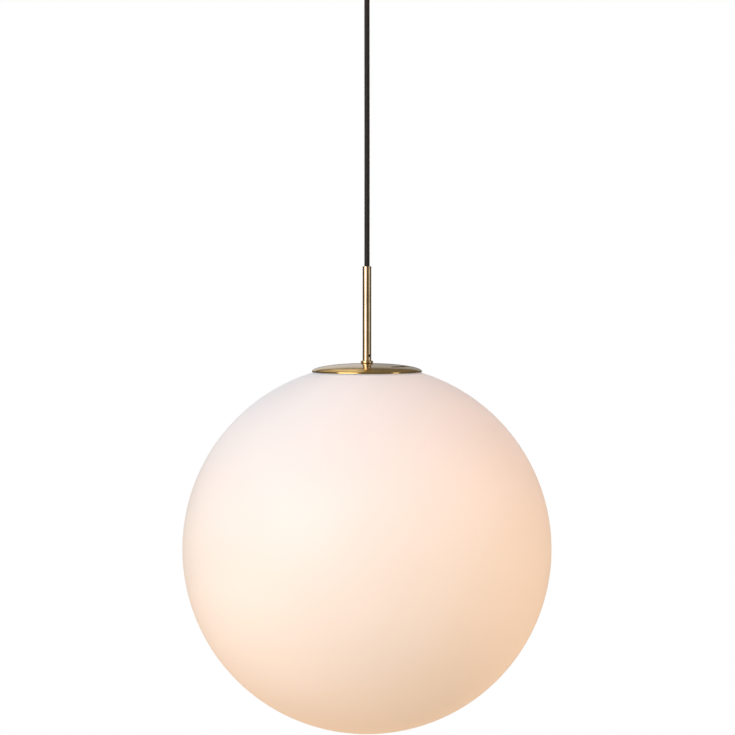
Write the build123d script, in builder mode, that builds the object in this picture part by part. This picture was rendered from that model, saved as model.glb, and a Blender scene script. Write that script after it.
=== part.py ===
"""Pendant ceiling light: an opal glass globe under a shallow brass cap, on a
thin stem and a textile cord that hangs from a canopy and a ceiling bracket.

The origin is the centre of the ceiling bracket's top face. +Z is up, so the
whole lamp lies below Z = 0. -Y is the front. Every length is in millimetres.
"""

import os
from math import cos, radians, sin, sqrt

from build123d import *

os.makedirs("parts", exist_ok=True)

# ---------------------------------------------------------------- driving sizes

# Clearances
RUNNING_FIT = 0.05  # radial, threads and sliding fits
LOOSE_FIT = 0.3  # radial, pieces that only pass through or lie near each other
SEAT_GAP = 0.1  # end gap between pieces that meet face to face

# Slots in the heads of small screws
SCREW_SLOT_WIDTH = 0.6
SCREW_SLOT_DEPTH = 0.8

# Glass globe
GLOBE_DIAMETER = 400.0
GLASS_WALL = 3.0
GLASS_OPENING = 100.0
GLASS_EDGE_ROUND = 1.0

# Cap over the opening
CAP_OVERLAP = 9.5  # past the edge of the glass
CAP_HEIGHT = 9.5
CAP_WALL = 1.0
CAP_LIP = 1.0
RIM_GAP = 0.8  # from the lip of the cap down to the glass
VENT_RADIUS = 44.0
VENT_WIDTH = 4.5
VENT_SWEEP = 40.0
VENT_AZIMUTHS = (-31.0, 149.0)

# Gasket between cap and glass
GASKET_WIDTH = 6.0
GASKET_THICKNESS = 1.2

# Nipple and collar
CORD_CLEARANCE = 0.35  # radial, between the cord and the nipple's bore
NIPPLE_WALL = 0.8
NIPPLE_IN_STEM = 14.0
NIPPLE_FLAT_DEPTH = 0.5
NIPPLE_FLAT_LENGTH = 12.0
NIPPLE_END = 1.0  # of the nipple below the lampholder's nut
COLLAR_LEDGE = 2.0  # past the stem
COLLAR_HEIGHT = 3.0
COLLAR_ROUND = 1.2

# Stem
STEM_WALL = 0.65
STEM_LENGTH = 102.0
STEM_TOP_ROUND = 0.4
SET_SCREW_DIAMETER = 2.5
SET_SCREW_HEIGHT = 5.4
SET_SCREW_AZIMUTH = -56.0
SET_SCREW_RECESS = 0.15
SET_SCREW_KEY_DEPTH = 0.6
STEM_BUSH_HEIGHT = 8.0
STEM_BUSH_RECESS = 0.3

# Cord
CORD_DIAMETER = 5.7
FREE_CORD = 302.0  # from the cord grip's mouth to the top of the stem
CORE_DIAMETER = 1.8
CORE_SPREAD = 1.5  # from the cord's axis to each core's axis at the lampholder
CORE_GAP = 0.07  # between the cores where they leave the cord in the canopy
CORE_BEND = 3.0
TAIL_RISE = 2.5  # of the cord above the grip's nut
CORD_END = 1.5  # of the cord below the nipple

# Cord grip in the canopy floor
GRIP_WALL = 1.7  # round the flex bush
GRIP_DROP = 14.0
GRIP_THREAD_WALL = 1.85
GRIP_NUT_WALL = 2.0
GRIP_NUT_HEIGHT = 5.0
GRIP_ROUND = 1.5
GRIP_THREAD_END = 1.0  # of the thread above the nut
GRIP_SCREW_DIAMETER = 3.0
GRIP_SCREW_DROP = 4.0  # below the canopy's floor
GRIP_SCREW_RECESS = 0.4
GRIP_KEY_DEPTH = 1.0
FLEX_BALL_RADIUS = 6.0
FLEX_BALL_DEPTH = 2.6  # from the ball's centre down to the grip's mouth
FLEX_BALL_TOP = 1.8
SWING_ROOM = 20.0  # degrees that the slot in the ball lets the cord swing sideways

# Canopy
CANOPY_DIAMETER = 110.0
CANOPY_HEIGHT = 32.0
CANOPY_WALL = 1.0
CANOPY_ROUND = 7.0
CEILING_GAP = 0.5

# Ceiling bracket
BRACKET_WIDTH = 24.0
BRACKET_THICKNESS = 2.0
EAR_DROP = 14.0
EAR_BEND = 3.0
CABLE_HOLE_DIAMETER = 16.0
FIXING_SPACING = 60.0
FIXING_SLOT_LENGTH = 14.0
FIXING_SLOT_WIDTH = 5.0
EARTH_SCREW_DIAMETER = 4.0
EARTH_SCREW_OFFSET = 15.0
EARTH_WASHER_THICKNESS = 1.0
EARTH_WASHER_LEDGE = 0.6  # past the screw's head
EARTH_HEAD_HEIGHT = 2.4
EARTH_HEAD_ROUND = 0.8
EARTH_SLOT = 1.0  # width and depth

# Knurled side screws
SIDE_SCREW_DIAMETER = 4.0
SIDE_SCREW_REACH = 6.0  # past the inner face of the ear
SIDE_SCREW_DROP = 8.0  # below the ceiling
SIDE_HEAD_DIAMETER = 10.0
SIDE_HEAD_LENGTH = 5.0
SIDE_HEAD_CHAMFER = 0.5

# Terminal block
BLOCK_LENGTH = 20.0
BLOCK_WIDTH = 33.0
BLOCK_HEIGHT = 15.0
BLOCK_PITCH = 10.0
BLOCK_START = 15.0  # from the axis to the block's near face
BLOCK_WIRE_DROP = 4.2  # from the block's top to the wire holes
BLOCK_SCREW_DIAMETER = 3.0
BLOCK_SCREW_RECESS = 0.5
BLOCK_ROUND = 1.5
BLOCK_LEAD_IN = 3.5  # straight run of each core in front of the block
BLOCK_CORE_DEPTH = 4.0  # how far each core goes into the block
BLOCK_TUBE_WALL = 1.0
BLOCK_TUBE_SETBACK = 1.0

# Spring carrier and arms
CARRIER_RADIUS = 22.0
CARRIER_THICKNESS = 1.5
CARRIER_DROP = 0.4  # from the inside of the glass at its edge to the carrier's underside
LOBE_SETBACK = 6.0  # from the edge of the glass in to the end of a lobe
LOBE_WIDTH = 16.0
CARRIER_FILLET = 3.0
ARM_AZIMUTHS = (90.0, 210.0, 330.0)
ARM_WIDTH = 13.0
ARM_THICKNESS = 0.8
ARM_LAP = 19.0  # of the arm on its lobe
ARM_HOOK = 6.0  # how far the arm reaches past the edge of the glass
ARM_BEND = 6.0
ARM_TIP_SETBACK = 10.0  # from the edge of the glass in to the arm's tip
ARM_LENGTH = 44.0
ARM_TIP_CURL = 5.0
RIVET_SETBACKS = (6.0, 15.0)  # from the end of the lobe
RIVET_DIAMETER = 3.0
RIVET_HEAD_DIAMETER = 5.0
RIVET_HEAD_HEIGHT = 1.0
RIVET_CHAMFER = 0.4

# Nuts on the nipple
GALLERY_NUT_WALL = 2.5
GALLERY_NUT_HEIGHT = 4.0
SLEEVE_WALL = 2.5

# Lampholder
HOLDER_DIAMETER = 40.0
HOLDER_WALL = 1.6
HOLDER_CAP_HEIGHT = 21.0
HOLDER_CAP_ROUND = 6.0
HOLDER_BODY_HEIGHT = 40.0
HOLDER_RING_WIDTH = 5.0
HOLDER_RING_HEIGHT = 6.0
HOLDER_RING_DROP = 24.0  # from the top of the body
HOLDER_RING_ROUND = 1.5
HOLDER_EDGE_ROUND = 0.6
HOLDER_NUT_WALL = 2.0
HOLDER_NUT_HEIGHT = 3.0
INSERT_DROP = 1.0  # below the joint between the holder's cap and body
INSERT_HEIGHT = 14.0
INSERT_CHAMFER = 0.6
SHELL_HEIGHT = 24.0
SHELL_WALL = 0.5
TERMINAL_AZIMUTHS = (30.0, 150.0, 270.0)
TERMINAL_RADIUS = 11.0
TERMINAL_SIZE = 6.0
TERMINAL_HEIGHT = 5.0
TERMINAL_SCREW_DIAMETER = 3.0
TERMINAL_SCREW_HEAD = 1.6
CONTACT_THICKNESS = 0.6
CONTACT_LENGTH = 16.0
CONTACT_WIDTH = 6.0

# Bulb
BULB_THREAD_DIAMETER = 26.2
BULB_THREAD_HEIGHT = 21.5
BULB_CONTACT_DIAMETER = 8.0
BULB_CONTACT_HEIGHT = 1.6
BULB_CONTACT_ROUND = 0.8
BULB_INSULATOR_HEIGHT = 3.0
BULB_INSULATOR_LEDGE = 1.5  # round the contact
BULB_SHOULDER = 2.0  # round the top of the thread
BULB_COLLAR_HEIGHT = 18.0
BULB_COLLAR_DIAMETER = 38.0
BULB_COLLAR_RIM = 2.0
BULB_COLLAR_LEDGE = 0.4  # past the thread
BULB_DIAMETER = 80.0
BULB_GLASS_WALL = 1.0
BULB_SHELL_WALL = 0.5

# ------------------------------------------------------------- sizes that follow

CORD_RADIUS = CORD_DIAMETER / 2
CORE_RADIUS = CORE_DIAMETER / 2
CORE_ROW = CORE_DIAMETER + CORE_GAP
NIPPLE_BORE_RADIUS = CORD_RADIUS + CORD_CLEARANCE
NIPPLE_RADIUS = NIPPLE_BORE_RADIUS + NIPPLE_WALL
THREAD_HOLE = NIPPLE_RADIUS + RUNNING_FIT
STEM_BORE_RADIUS = NIPPLE_RADIUS + RUNNING_FIT
STEM_RADIUS = STEM_BORE_RADIUS + STEM_WALL
GLOBE_RADIUS = GLOBE_DIAMETER / 2
GLASS_EDGE_RADIUS = GLASS_OPENING / 2
CAP_RADIUS = GLASS_EDGE_RADIUS + CAP_OVERLAP
CANOPY_RADIUS = CANOPY_DIAMETER / 2
BULB_RADIUS = BULB_DIAMETER / 2
BULB_NECK_RADIUS = BULB_COLLAR_DIAMETER / 2

# ------------------------------------------------------ levels, from the top down

CANOPY_RIM = -CEILING_GAP
CANOPY_FLOOR = CANOPY_RIM - CANOPY_HEIGHT
CANOPY_INSIDE = CANOPY_FLOOR + CANOPY_WALL
GRIP_MOUTH = CANOPY_FLOOR - GRIP_DROP
PIVOT = GRIP_MOUTH + FLEX_BALL_DEPTH
NUT_TOP = CANOPY_INSIDE + GRIP_NUT_HEIGHT
GRIP_TOP = NUT_TOP + GRIP_THREAD_END
TAIL_TOP = NUT_TOP + TAIL_RISE
BLOCK_TOP = CANOPY_INSIDE + BLOCK_HEIGHT
BLOCK_WIRE = BLOCK_TOP - BLOCK_WIRE_DROP

STEM_TOP = GRIP_MOUTH - FREE_CORD
STEM_FOOT = STEM_TOP - STEM_LENGTH
CAP_TOP = STEM_FOOT - COLLAR_HEIGHT
CAP_RIM = CAP_TOP - CAP_HEIGHT

GLOBE_CENTRE = CAP_RIM - RIM_GAP - sqrt(GLOBE_RADIUS**2 - CAP_RADIUS**2)


def glass_height(radius, wall_depth=0.0):
    """Height of the globe's surface at a radius, at a depth into the wall."""
    return GLOBE_CENTRE + sqrt((GLOBE_RADIUS - wall_depth) ** 2 - radius**2)


CARRIER_UNDERSIDE = glass_height(GLASS_EDGE_RADIUS, GLASS_WALL) - CARRIER_DROP
CARRIER_TOP = CARRIER_UNDERSIDE + CARRIER_THICKNESS
HOLDER_TOP = CARRIER_UNDERSIDE - GALLERY_NUT_HEIGHT - SEAT_GAP
HOLDER_JOIN = HOLDER_TOP - HOLDER_CAP_HEIGHT
INSERT_TOP = HOLDER_JOIN - INSERT_DROP
INSERT_UNDERSIDE = INSERT_TOP - INSERT_HEIGHT
TERMINAL_TOP = INSERT_TOP + TERMINAL_HEIGHT
NIPPLE_FOOT = HOLDER_TOP - HOLDER_WALL - HOLDER_NUT_HEIGHT - NIPPLE_END
CORD_FOOT = NIPPLE_FOOT - CORD_END

BULB_TOP = INSERT_UNDERSIDE - CONTACT_THICKNESS - LOOSE_FIT
BULB_SHELL_TOP = BULB_TOP - BULB_CONTACT_HEIGHT - BULB_INSULATOR_HEIGHT
BULB_SHELL_FOOT = BULB_SHELL_TOP - BULB_THREAD_HEIGHT
BULB_NECK = BULB_SHELL_FOOT - BULB_COLLAR_HEIGHT
BULB_CENTRE = BULB_NECK - sqrt(BULB_RADIUS**2 - BULB_NECK_RADIUS**2)


def side_plane(height):
    """Plane for a profile that is turned about Z: local X is the radius, local Y is up."""
    return Plane((0, 0, height), x_dir=(1, 0, 0), z_dir=(0, -1, 0))


def radial_plane(azimuth, height):
    """Upright plane through Z at an azimuth: local X runs outwards, local Y is up."""
    outwards = (cos(radians(azimuth)), sin(radians(azimuth)), 0)
    across = (sin(radians(azimuth)), -cos(radians(azimuth)), 0)
    return Plane((0, 0, height), x_dir=outwards, z_dir=across)


def outward_plane(azimuth, distance, height):
    """Plane that faces outwards from Z, at a distance from it."""
    outwards = (cos(radians(azimuth)), sin(radians(azimuth)), 0)
    place = (outwards[0] * distance, outwards[1] * distance, height)
    return Plane(place, x_dir=(0, 0, 1), z_dir=outwards)


# ------------------------------------------------------------- ceiling bracket

EAR_CORNER = CANOPY_RADIUS - CANOPY_WALL - LOOSE_FIT
BRACKET_REACH = sqrt(EAR_CORNER**2 - (BRACKET_WIDTH / 2) ** 2)
EAR_FOOT = -EAR_DROP
EARTH_WASHER_TOP = -BRACKET_THICKNESS
EARTH_HEAD_TOP = EARTH_WASHER_TOP - EARTH_WASHER_THICKNESS
EARTH_HEAD_FOOT = EARTH_HEAD_TOP - EARTH_HEAD_HEIGHT
EARTH_HEAD_RADIUS = EARTH_SCREW_DIAMETER

with BuildPart() as ceiling_bracket:
    with BuildSketch(Plane.XZ) as strap_outline:
        with BuildLine():
            Polyline(
                (-BRACKET_REACH, EAR_FOOT),
                (-BRACKET_REACH, 0),
                (BRACKET_REACH, 0),
                (BRACKET_REACH, EAR_FOOT),
                (BRACKET_REACH - BRACKET_THICKNESS, EAR_FOOT),
                (BRACKET_REACH - BRACKET_THICKNESS, -BRACKET_THICKNESS),
                (-BRACKET_REACH + BRACKET_THICKNESS, -BRACKET_THICKNESS),
                (-BRACKET_REACH + BRACKET_THICKNESS, EAR_FOOT),
                close=True,
            )
        make_face()
        fillet(strap_outline.vertices().group_by(Axis.Y)[-1], EAR_BEND)
    extrude(amount=BRACKET_WIDTH / 2, both=True)
    with BuildSketch(Plane.XY) as fixing_holes:
        Circle(CABLE_HOLE_DIAMETER / 2)
        with Locations((-FIXING_SPACING / 2, 0), (FIXING_SPACING / 2, 0)):
            SlotOverall(FIXING_SLOT_LENGTH, FIXING_SLOT_WIDTH)
        with Locations((-EARTH_SCREW_OFFSET, 0)):
            Circle(EARTH_SCREW_DIAMETER / 2 + RUNNING_FIT)
    extrude(amount=-BRACKET_THICKNESS, mode=Mode.SUBTRACT)
    with BuildSketch(Plane.YZ) as ear_holes:
        with Locations((0, -SIDE_SCREW_DROP)):
            Circle(SIDE_SCREW_DIAMETER / 2 + RUNNING_FIT)
    extrude(amount=CANOPY_RADIUS, both=True, mode=Mode.SUBTRACT)
ceiling_bracket.part.label = "ceiling_bracket"
export_step(ceiling_bracket.part, "parts/ceiling_bracket.step")

with BuildPart() as earth_screw:
    with BuildSketch(Plane.XY.offset(EARTH_HEAD_TOP)) as earth_shank:
        with Locations((-EARTH_SCREW_OFFSET, 0)):
            Circle(EARTH_SCREW_DIAMETER / 2)
    extrude(amount=-CEILING_GAP - EARTH_HEAD_TOP)
    with BuildSketch(Plane.XY.offset(EARTH_HEAD_TOP)) as earth_head:
        with Locations((-EARTH_SCREW_OFFSET, 0)):
            Circle(EARTH_HEAD_RADIUS)
    extrude(amount=-EARTH_HEAD_HEIGHT)
    fillet(earth_screw.faces().sort_by(Axis.Z)[0].edges(), EARTH_HEAD_ROUND)
    with BuildSketch(Plane.XY.offset(EARTH_HEAD_FOOT)) as earth_slot:
        with Locations((-EARTH_SCREW_OFFSET, 0)):
            Rectangle(3 * EARTH_HEAD_RADIUS, EARTH_SLOT)
    extrude(amount=EARTH_SLOT, mode=Mode.SUBTRACT)
earth_screw.part.label = "earth_screw"
export_step(earth_screw.part, "parts/earth_screw.step")

with BuildPart() as earth_washer:
    with BuildSketch(Plane.XY.offset(EARTH_WASHER_TOP)) as washer_outline:
        with Locations((-EARTH_SCREW_OFFSET, 0)):
            Circle(EARTH_HEAD_RADIUS + EARTH_WASHER_LEDGE)
            Circle(EARTH_SCREW_DIAMETER / 2 + RUNNING_FIT, mode=Mode.SUBTRACT)
    extrude(amount=-EARTH_WASHER_THICKNESS)
earth_washer.part.label = "earth_washer"
export_step(earth_washer.part, "parts/earth_washer.step")

# ------------------------------------------------------------------- side screws

SIDE_HEAD_START = CANOPY_RADIUS + SEAT_GAP
SIDE_TIP = BRACKET_REACH - BRACKET_THICKNESS - SIDE_SCREW_REACH

for side_name, side_azimuth in (("left", 180.0), ("right", 0.0)):
    with BuildPart() as canopy_screw:
        with BuildSketch(outward_plane(side_azimuth, SIDE_TIP, -SIDE_SCREW_DROP)):
            Circle(SIDE_SCREW_DIAMETER / 2)
        extrude(amount=SIDE_HEAD_START + SIDE_HEAD_CHAMFER - SIDE_TIP)
        with BuildSketch(outward_plane(side_azimuth, SIDE_HEAD_START, -SIDE_SCREW_DROP)):
            Circle(SIDE_HEAD_DIAMETER / 2)
        extrude(amount=SIDE_HEAD_LENGTH)
        head_rims = canopy_screw.edges().filter_by(GeomType.CIRCLE)
        chamfer(head_rims.group_by(SortBy.RADIUS)[-1], SIDE_HEAD_CHAMFER)
    canopy_screw.part.label = f"canopy_screw_{side_name}"
    export_step(canopy_screw.part, f"parts/canopy_screw_{side_name}.step")

# ------------------------------------------------------------------------ canopy

NOTCH_WIDTH = SIDE_SCREW_DIAMETER + 2 * LOOSE_FIT
GRIP_THREAD_RADIUS = CORD_RADIUS + LOOSE_FIT + GRIP_THREAD_WALL

with BuildPart() as canopy:
    with BuildSketch(Plane.XY.offset(CANOPY_RIM)) as canopy_outline:
        Circle(CANOPY_RADIUS)
    extrude(amount=-CANOPY_HEIGHT)
    fillet(canopy.faces().sort_by(Axis.Z)[0].edges(), CANOPY_ROUND)
    offset(amount=-CANOPY_WALL, openings=canopy.faces().sort_by(Axis.Z)[-1])
    with BuildSketch(Plane.XY.offset(CANOPY_INSIDE)) as grip_hole:
        Circle(GRIP_THREAD_RADIUS + RUNNING_FIT)
    extrude(amount=-2 * CANOPY_WALL, mode=Mode.SUBTRACT)
    with BuildSketch(Plane.YZ) as rim_notches:
        with Locations((0, -SIDE_SCREW_DROP)):
            Circle(NOTCH_WIDTH / 2)
        with Locations((0, -SIDE_SCREW_DROP / 2)):
            Rectangle(NOTCH_WIDTH, SIDE_SCREW_DROP)
    extrude(amount=CANOPY_RADIUS, both=True, mode=Mode.SUBTRACT)
canopy.part.label = "canopy"
export_step(canopy.part, "parts/canopy.step")

# --------------------------------------------------------- cord grip in the canopy

SOCKET_RADIUS = FLEX_BALL_RADIUS + LOOSE_FIT
GRIP_RADIUS = SOCKET_RADIUS + GRIP_WALL
GRIP_SCREW_LEVEL = CANOPY_FLOOR - GRIP_SCREW_DROP
GRIP_SCREW_TIP = CORD_RADIUS + SEAT_GAP
GRIP_SCREW_END = GRIP_RADIUS - GRIP_SCREW_RECESS
TAIL_FOOT = PIVOT + CORD_RADIUS + 2 * LOOSE_FIT

with BuildPart() as cord_grip_body:
    with BuildSketch(Plane.XY.offset(CANOPY_FLOOR - SEAT_GAP)) as grip_barrel:
        Circle(GRIP_RADIUS)
    extrude(amount=-(GRIP_DROP - SEAT_GAP))
    fillet(cord_grip_body.faces().sort_by(Axis.Z)[0].edges(), GRIP_ROUND)
    with BuildSketch(Plane.XY.offset(CANOPY_FLOOR - SEAT_GAP)) as grip_thread:
        Circle(GRIP_THREAD_RADIUS)
    extrude(amount=GRIP_TOP - CANOPY_FLOOR + SEAT_GAP)
    with BuildSketch(Plane.XY.offset(GRIP_TOP)) as grip_bore:
        Circle(CORD_RADIUS + LOOSE_FIT)
    extrude(amount=GRIP_MOUTH - GRIP_TOP, mode=Mode.SUBTRACT)
    with Locations((0, 0, PIVOT)):
        Sphere(SOCKET_RADIUS, mode=Mode.SUBTRACT)
    with BuildSketch(outward_plane(0.0, 0.0, GRIP_SCREW_LEVEL)) as grip_screw_hole:
        Circle(GRIP_SCREW_DIAMETER / 2 + RUNNING_FIT)
    extrude(amount=2 * GRIP_RADIUS, mode=Mode.SUBTRACT)
cord_grip_body.part.label = "cord_grip_body"
export_step(cord_grip_body.part, "parts/cord_grip_body.step")

with BuildPart() as cord_grip_screw:
    with BuildSketch(outward_plane(0.0, GRIP_SCREW_TIP, GRIP_SCREW_LEVEL)):
        Circle(GRIP_SCREW_DIAMETER / 2)
    extrude(amount=GRIP_SCREW_END - GRIP_SCREW_TIP)
    with BuildSketch(outward_plane(0.0, GRIP_SCREW_END, GRIP_SCREW_LEVEL)):
        RegularPolygon(GRIP_SCREW_DIAMETER / 4, 6)
    extrude(amount=-GRIP_KEY_DEPTH, mode=Mode.SUBTRACT)
cord_grip_screw.part.label = "cord_grip_screw"
export_step(cord_grip_screw.part, "parts/cord_grip_screw.step")

with BuildPart() as cord_grip_nut:
    with BuildSketch(Plane.XY.offset(CANOPY_INSIDE)) as grip_nut_outline:
        RegularPolygon(GRIP_THREAD_RADIUS + GRIP_NUT_WALL, 6, major_radius=False)
        Circle(GRIP_THREAD_RADIUS + RUNNING_FIT, mode=Mode.SUBTRACT)
    extrude(amount=GRIP_NUT_HEIGHT)
cord_grip_nut.part.label = "cord_grip_nut"
export_step(cord_grip_nut.part, "parts/cord_grip_nut.step")

# The ball swings front to back in the grip; its slot lets the cord swing sideways.
CORD_SLOT_REACH = FLEX_BALL_RADIUS * sin(radians(SWING_ROOM))

with BuildPart() as flex_bush:
    with Locations((0, 0, PIVOT)):
        Sphere(FLEX_BALL_RADIUS)
        Sphere(CORD_RADIUS + LOOSE_FIT, mode=Mode.SUBTRACT)
    with BuildSketch(Plane.XY.offset(PIVOT + FLEX_BALL_TOP)) as ball_top:
        Circle(2 * FLEX_BALL_RADIUS)
    extrude(amount=FLEX_BALL_RADIUS, mode=Mode.SUBTRACT)
    with BuildSketch(Plane.XY.offset(PIVOT)) as cord_slot:
        SlotCenterToCenter(2 * CORD_SLOT_REACH, CORD_DIAMETER + 2 * LOOSE_FIT)
    extrude(amount=-2 * FLEX_BALL_RADIUS, mode=Mode.SUBTRACT)
    with BuildSketch(Plane.XY.offset(PIVOT - FLEX_BALL_DEPTH)) as ball_foot:
        Circle(2 * FLEX_BALL_RADIUS)
    extrude(amount=-FLEX_BALL_RADIUS, mode=Mode.SUBTRACT)
flex_bush.part.label = "flex_bush"
export_step(flex_bush.part, "parts/flex_bush.step")

# ---------------------------------------------------- upper end of the cord, cores

with BuildPart() as cord_tail:
    with BuildSketch(Plane.XY.offset(TAIL_FOOT)) as tail_outline:
        Circle(CORD_RADIUS)
    extrude(amount=TAIL_TOP - TAIL_FOOT)
cord_tail.part.label = "cord_tail"
export_step(cord_tail.part, "parts/cord_tail.step")

for pole, core_name in ((1, "live"), (0, "earth"), (-1, "neutral")):
    start = Vector(0, CORE_ROW * pole, TAIL_TOP)
    corner = Vector(start.X, start.Y, BLOCK_WIRE)
    lead_in = Vector(BLOCK_START - BLOCK_LEAD_IN, BLOCK_PITCH * pole, BLOCK_WIRE)
    end = Vector(BLOCK_START + BLOCK_CORE_DEPTH, BLOCK_PITCH * pole, BLOCK_WIRE)
    with BuildPart() as upper_core:
        with BuildLine() as core_route:
            if pole == 0:
                FilletPolyline(start, corner, end, radius=CORE_BEND)
            else:
                FilletPolyline(start, corner, lead_in, end, radius=CORE_BEND)
        with BuildSketch(Plane.XY.offset(TAIL_TOP)):
            with Locations((start.X, start.Y)):
                Circle(CORE_RADIUS)
        sweep()
    upper_core.part.label = f"upper_core_{core_name}"
    export_step(upper_core.part, f"parts/upper_core_{core_name}.step")

# ---------------------------------------------------------------- terminal block

BLOCK_MIDDLE = BLOCK_START + BLOCK_LENGTH / 2
BLOCK_SCREW_TOP = BLOCK_TOP - BLOCK_SCREW_RECESS
BLOCK_SCREW_PLACES = [
    (BLOCK_MIDDLE + side * BLOCK_LENGTH / 4, BLOCK_PITCH * pole)
    for side in (-1, 1)
    for pole in (-1, 0, 1)
]
BLOCK_TUBE_RADIUS = CORE_RADIUS + BLOCK_TUBE_WALL

with BuildPart() as terminal_block:
    with BuildSketch(Plane.XY.offset(CANOPY_INSIDE)) as block_outline:
        with Locations((BLOCK_MIDDLE, 0)):
            RectangleRounded(BLOCK_LENGTH, BLOCK_WIDTH, BLOCK_ROUND)
    extrude(amount=BLOCK_HEIGHT)
    with BuildSketch(Plane.YZ.offset(BLOCK_START)) as block_wire_holes:
        with Locations(*[(BLOCK_PITCH * pole, BLOCK_WIRE) for pole in (-1, 0, 1)]):
            Circle(BLOCK_TUBE_RADIUS + RUNNING_FIT)
    extrude(amount=BLOCK_LENGTH, mode=Mode.SUBTRACT)
    with BuildSketch(Plane.XY.offset(BLOCK_TOP)) as block_screw_holes:
        with Locations(*BLOCK_SCREW_PLACES):
            Circle(BLOCK_SCREW_DIAMETER / 2 + RUNNING_FIT)
    extrude(amount=-BLOCK_WIRE_DROP, mode=Mode.SUBTRACT)
terminal_block.part.label = "terminal_block"
export_step(terminal_block.part, "parts/terminal_block.step")

with BuildPart() as terminal_tubes:
    with BuildSketch(Plane.YZ.offset(BLOCK_START + BLOCK_TUBE_SETBACK)) as tube_outline:
        with Locations(*[(BLOCK_PITCH * pole, BLOCK_WIRE) for pole in (-1, 0, 1)]):
            Circle(BLOCK_TUBE_RADIUS)
            Circle(CORE_RADIUS + SEAT_GAP, mode=Mode.SUBTRACT)
    extrude(amount=BLOCK_LENGTH - 2 * BLOCK_TUBE_SETBACK)
    with BuildSketch(Plane.XY.offset(BLOCK_TOP)) as tube_screw_holes:
        with Locations(*BLOCK_SCREW_PLACES):
            Circle(BLOCK_SCREW_DIAMETER / 2 + RUNNING_FIT)
    extrude(amount=-BLOCK_WIRE_DROP, mode=Mode.SUBTRACT)
terminal_tubes.part.label = "terminal_tubes"
export_step(terminal_tubes.part, "parts/terminal_tubes.step")

with BuildPart() as terminal_screws:
    with BuildSketch(Plane.XY.offset(BLOCK_SCREW_TOP)) as block_screw_outline:
        with Locations(*BLOCK_SCREW_PLACES):
            Circle(BLOCK_SCREW_DIAMETER / 2)
    extrude(amount=BLOCK_WIRE + CORE_RADIUS + SEAT_GAP - BLOCK_SCREW_TOP)
    with BuildSketch(Plane.XY.offset(BLOCK_SCREW_TOP)) as terminal_slots:
        with Locations(*BLOCK_SCREW_PLACES):
            Rectangle(2 * BLOCK_SCREW_DIAMETER, SCREW_SLOT_WIDTH)
    extrude(amount=-SCREW_SLOT_DEPTH, mode=Mode.SUBTRACT)
terminal_screws.part.label = "terminal_screws"
export_step(terminal_screws.part, "parts/terminal_screws.step")

# -------------------------------------------------------------------------- cord

with BuildPart() as cord:
    with BuildSketch(Plane.XY.offset(CORD_FOOT)) as cord_outline:
        Circle(CORD_RADIUS)
    extrude(amount=PIVOT - CORD_FOOT)
    with Locations((0, 0, PIVOT)):
        Sphere(CORD_RADIUS)
cord.part.label = "cord"
export_step(cord.part, "parts/cord.step")

# -------------------------------------------------------------------------- stem

SET_SCREW_LEVEL = STEM_FOOT + SET_SCREW_HEIGHT
FLAT_DISTANCE = NIPPLE_RADIUS - NIPPLE_FLAT_DEPTH
SET_SCREW_TIP = FLAT_DISTANCE + RUNNING_FIT
SET_SCREW_END = STEM_RADIUS - SET_SCREW_RECESS

with BuildPart() as stem_tube:
    with BuildSketch(Plane.XY.offset(STEM_FOOT)) as stem_outline:
        Circle(STEM_RADIUS)
        Circle(STEM_BORE_RADIUS, mode=Mode.SUBTRACT)
    extrude(amount=STEM_LENGTH)
    stem_rims = stem_tube.edges().group_by(Axis.Z)[-1]
    fillet(stem_rims.sort_by(SortBy.RADIUS)[-1], STEM_TOP_ROUND)
    with BuildSketch(outward_plane(SET_SCREW_AZIMUTH, 0.0, SET_SCREW_LEVEL)):
        Circle(SET_SCREW_DIAMETER / 2 + RUNNING_FIT)
    extrude(amount=2 * STEM_RADIUS, mode=Mode.SUBTRACT)
stem_tube.part.label = "stem_tube"
export_step(stem_tube.part, "parts/stem_tube.step")

with BuildPart() as stem_bush:
    with BuildSketch(Plane.XY.offset(STEM_TOP - STEM_BUSH_RECESS)) as bush_outline:
        Circle(STEM_BORE_RADIUS)
        Circle(CORD_RADIUS + LOOSE_FIT, mode=Mode.SUBTRACT)
    extrude(amount=-STEM_BUSH_HEIGHT)
stem_bush.part.label = "stem_bush"
export_step(stem_bush.part, "parts/stem_bush.step")

with BuildPart() as stem_set_screw:
    with BuildSketch(outward_plane(SET_SCREW_AZIMUTH, SET_SCREW_TIP, SET_SCREW_LEVEL)):
        Circle(SET_SCREW_DIAMETER / 2)
    extrude(amount=SET_SCREW_END - SET_SCREW_TIP)
    with BuildSketch(outward_plane(SET_SCREW_AZIMUTH, SET_SCREW_END, SET_SCREW_LEVEL)):
        RegularPolygon(SET_SCREW_DIAMETER / 4, 6)
    extrude(amount=-SET_SCREW_KEY_DEPTH, mode=Mode.SUBTRACT)
stem_set_screw.part.label = "stem_set_screw"
export_step(stem_set_screw.part, "parts/stem_set_screw.step")

# --------------------------------------------------- nipple, collar, sleeve, nuts

NIPPLE_TOP = STEM_FOOT + NIPPLE_IN_STEM

with BuildPart() as nipple:
    with BuildSketch(Plane.XY.offset(NIPPLE_FOOT)) as nipple_outline:
        Circle(NIPPLE_RADIUS)
        Circle(NIPPLE_BORE_RADIUS, mode=Mode.SUBTRACT)
    extrude(amount=NIPPLE_TOP - NIPPLE_FOOT)
    with BuildSketch(outward_plane(SET_SCREW_AZIMUTH, FLAT_DISTANCE, NIPPLE_TOP)):
        Rectangle(2 * NIPPLE_FLAT_LENGTH, 2 * NIPPLE_RADIUS)
    extrude(amount=NIPPLE_RADIUS, mode=Mode.SUBTRACT)
nipple.part.label = "nipple"
export_step(nipple.part, "parts/nipple.step")

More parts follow.
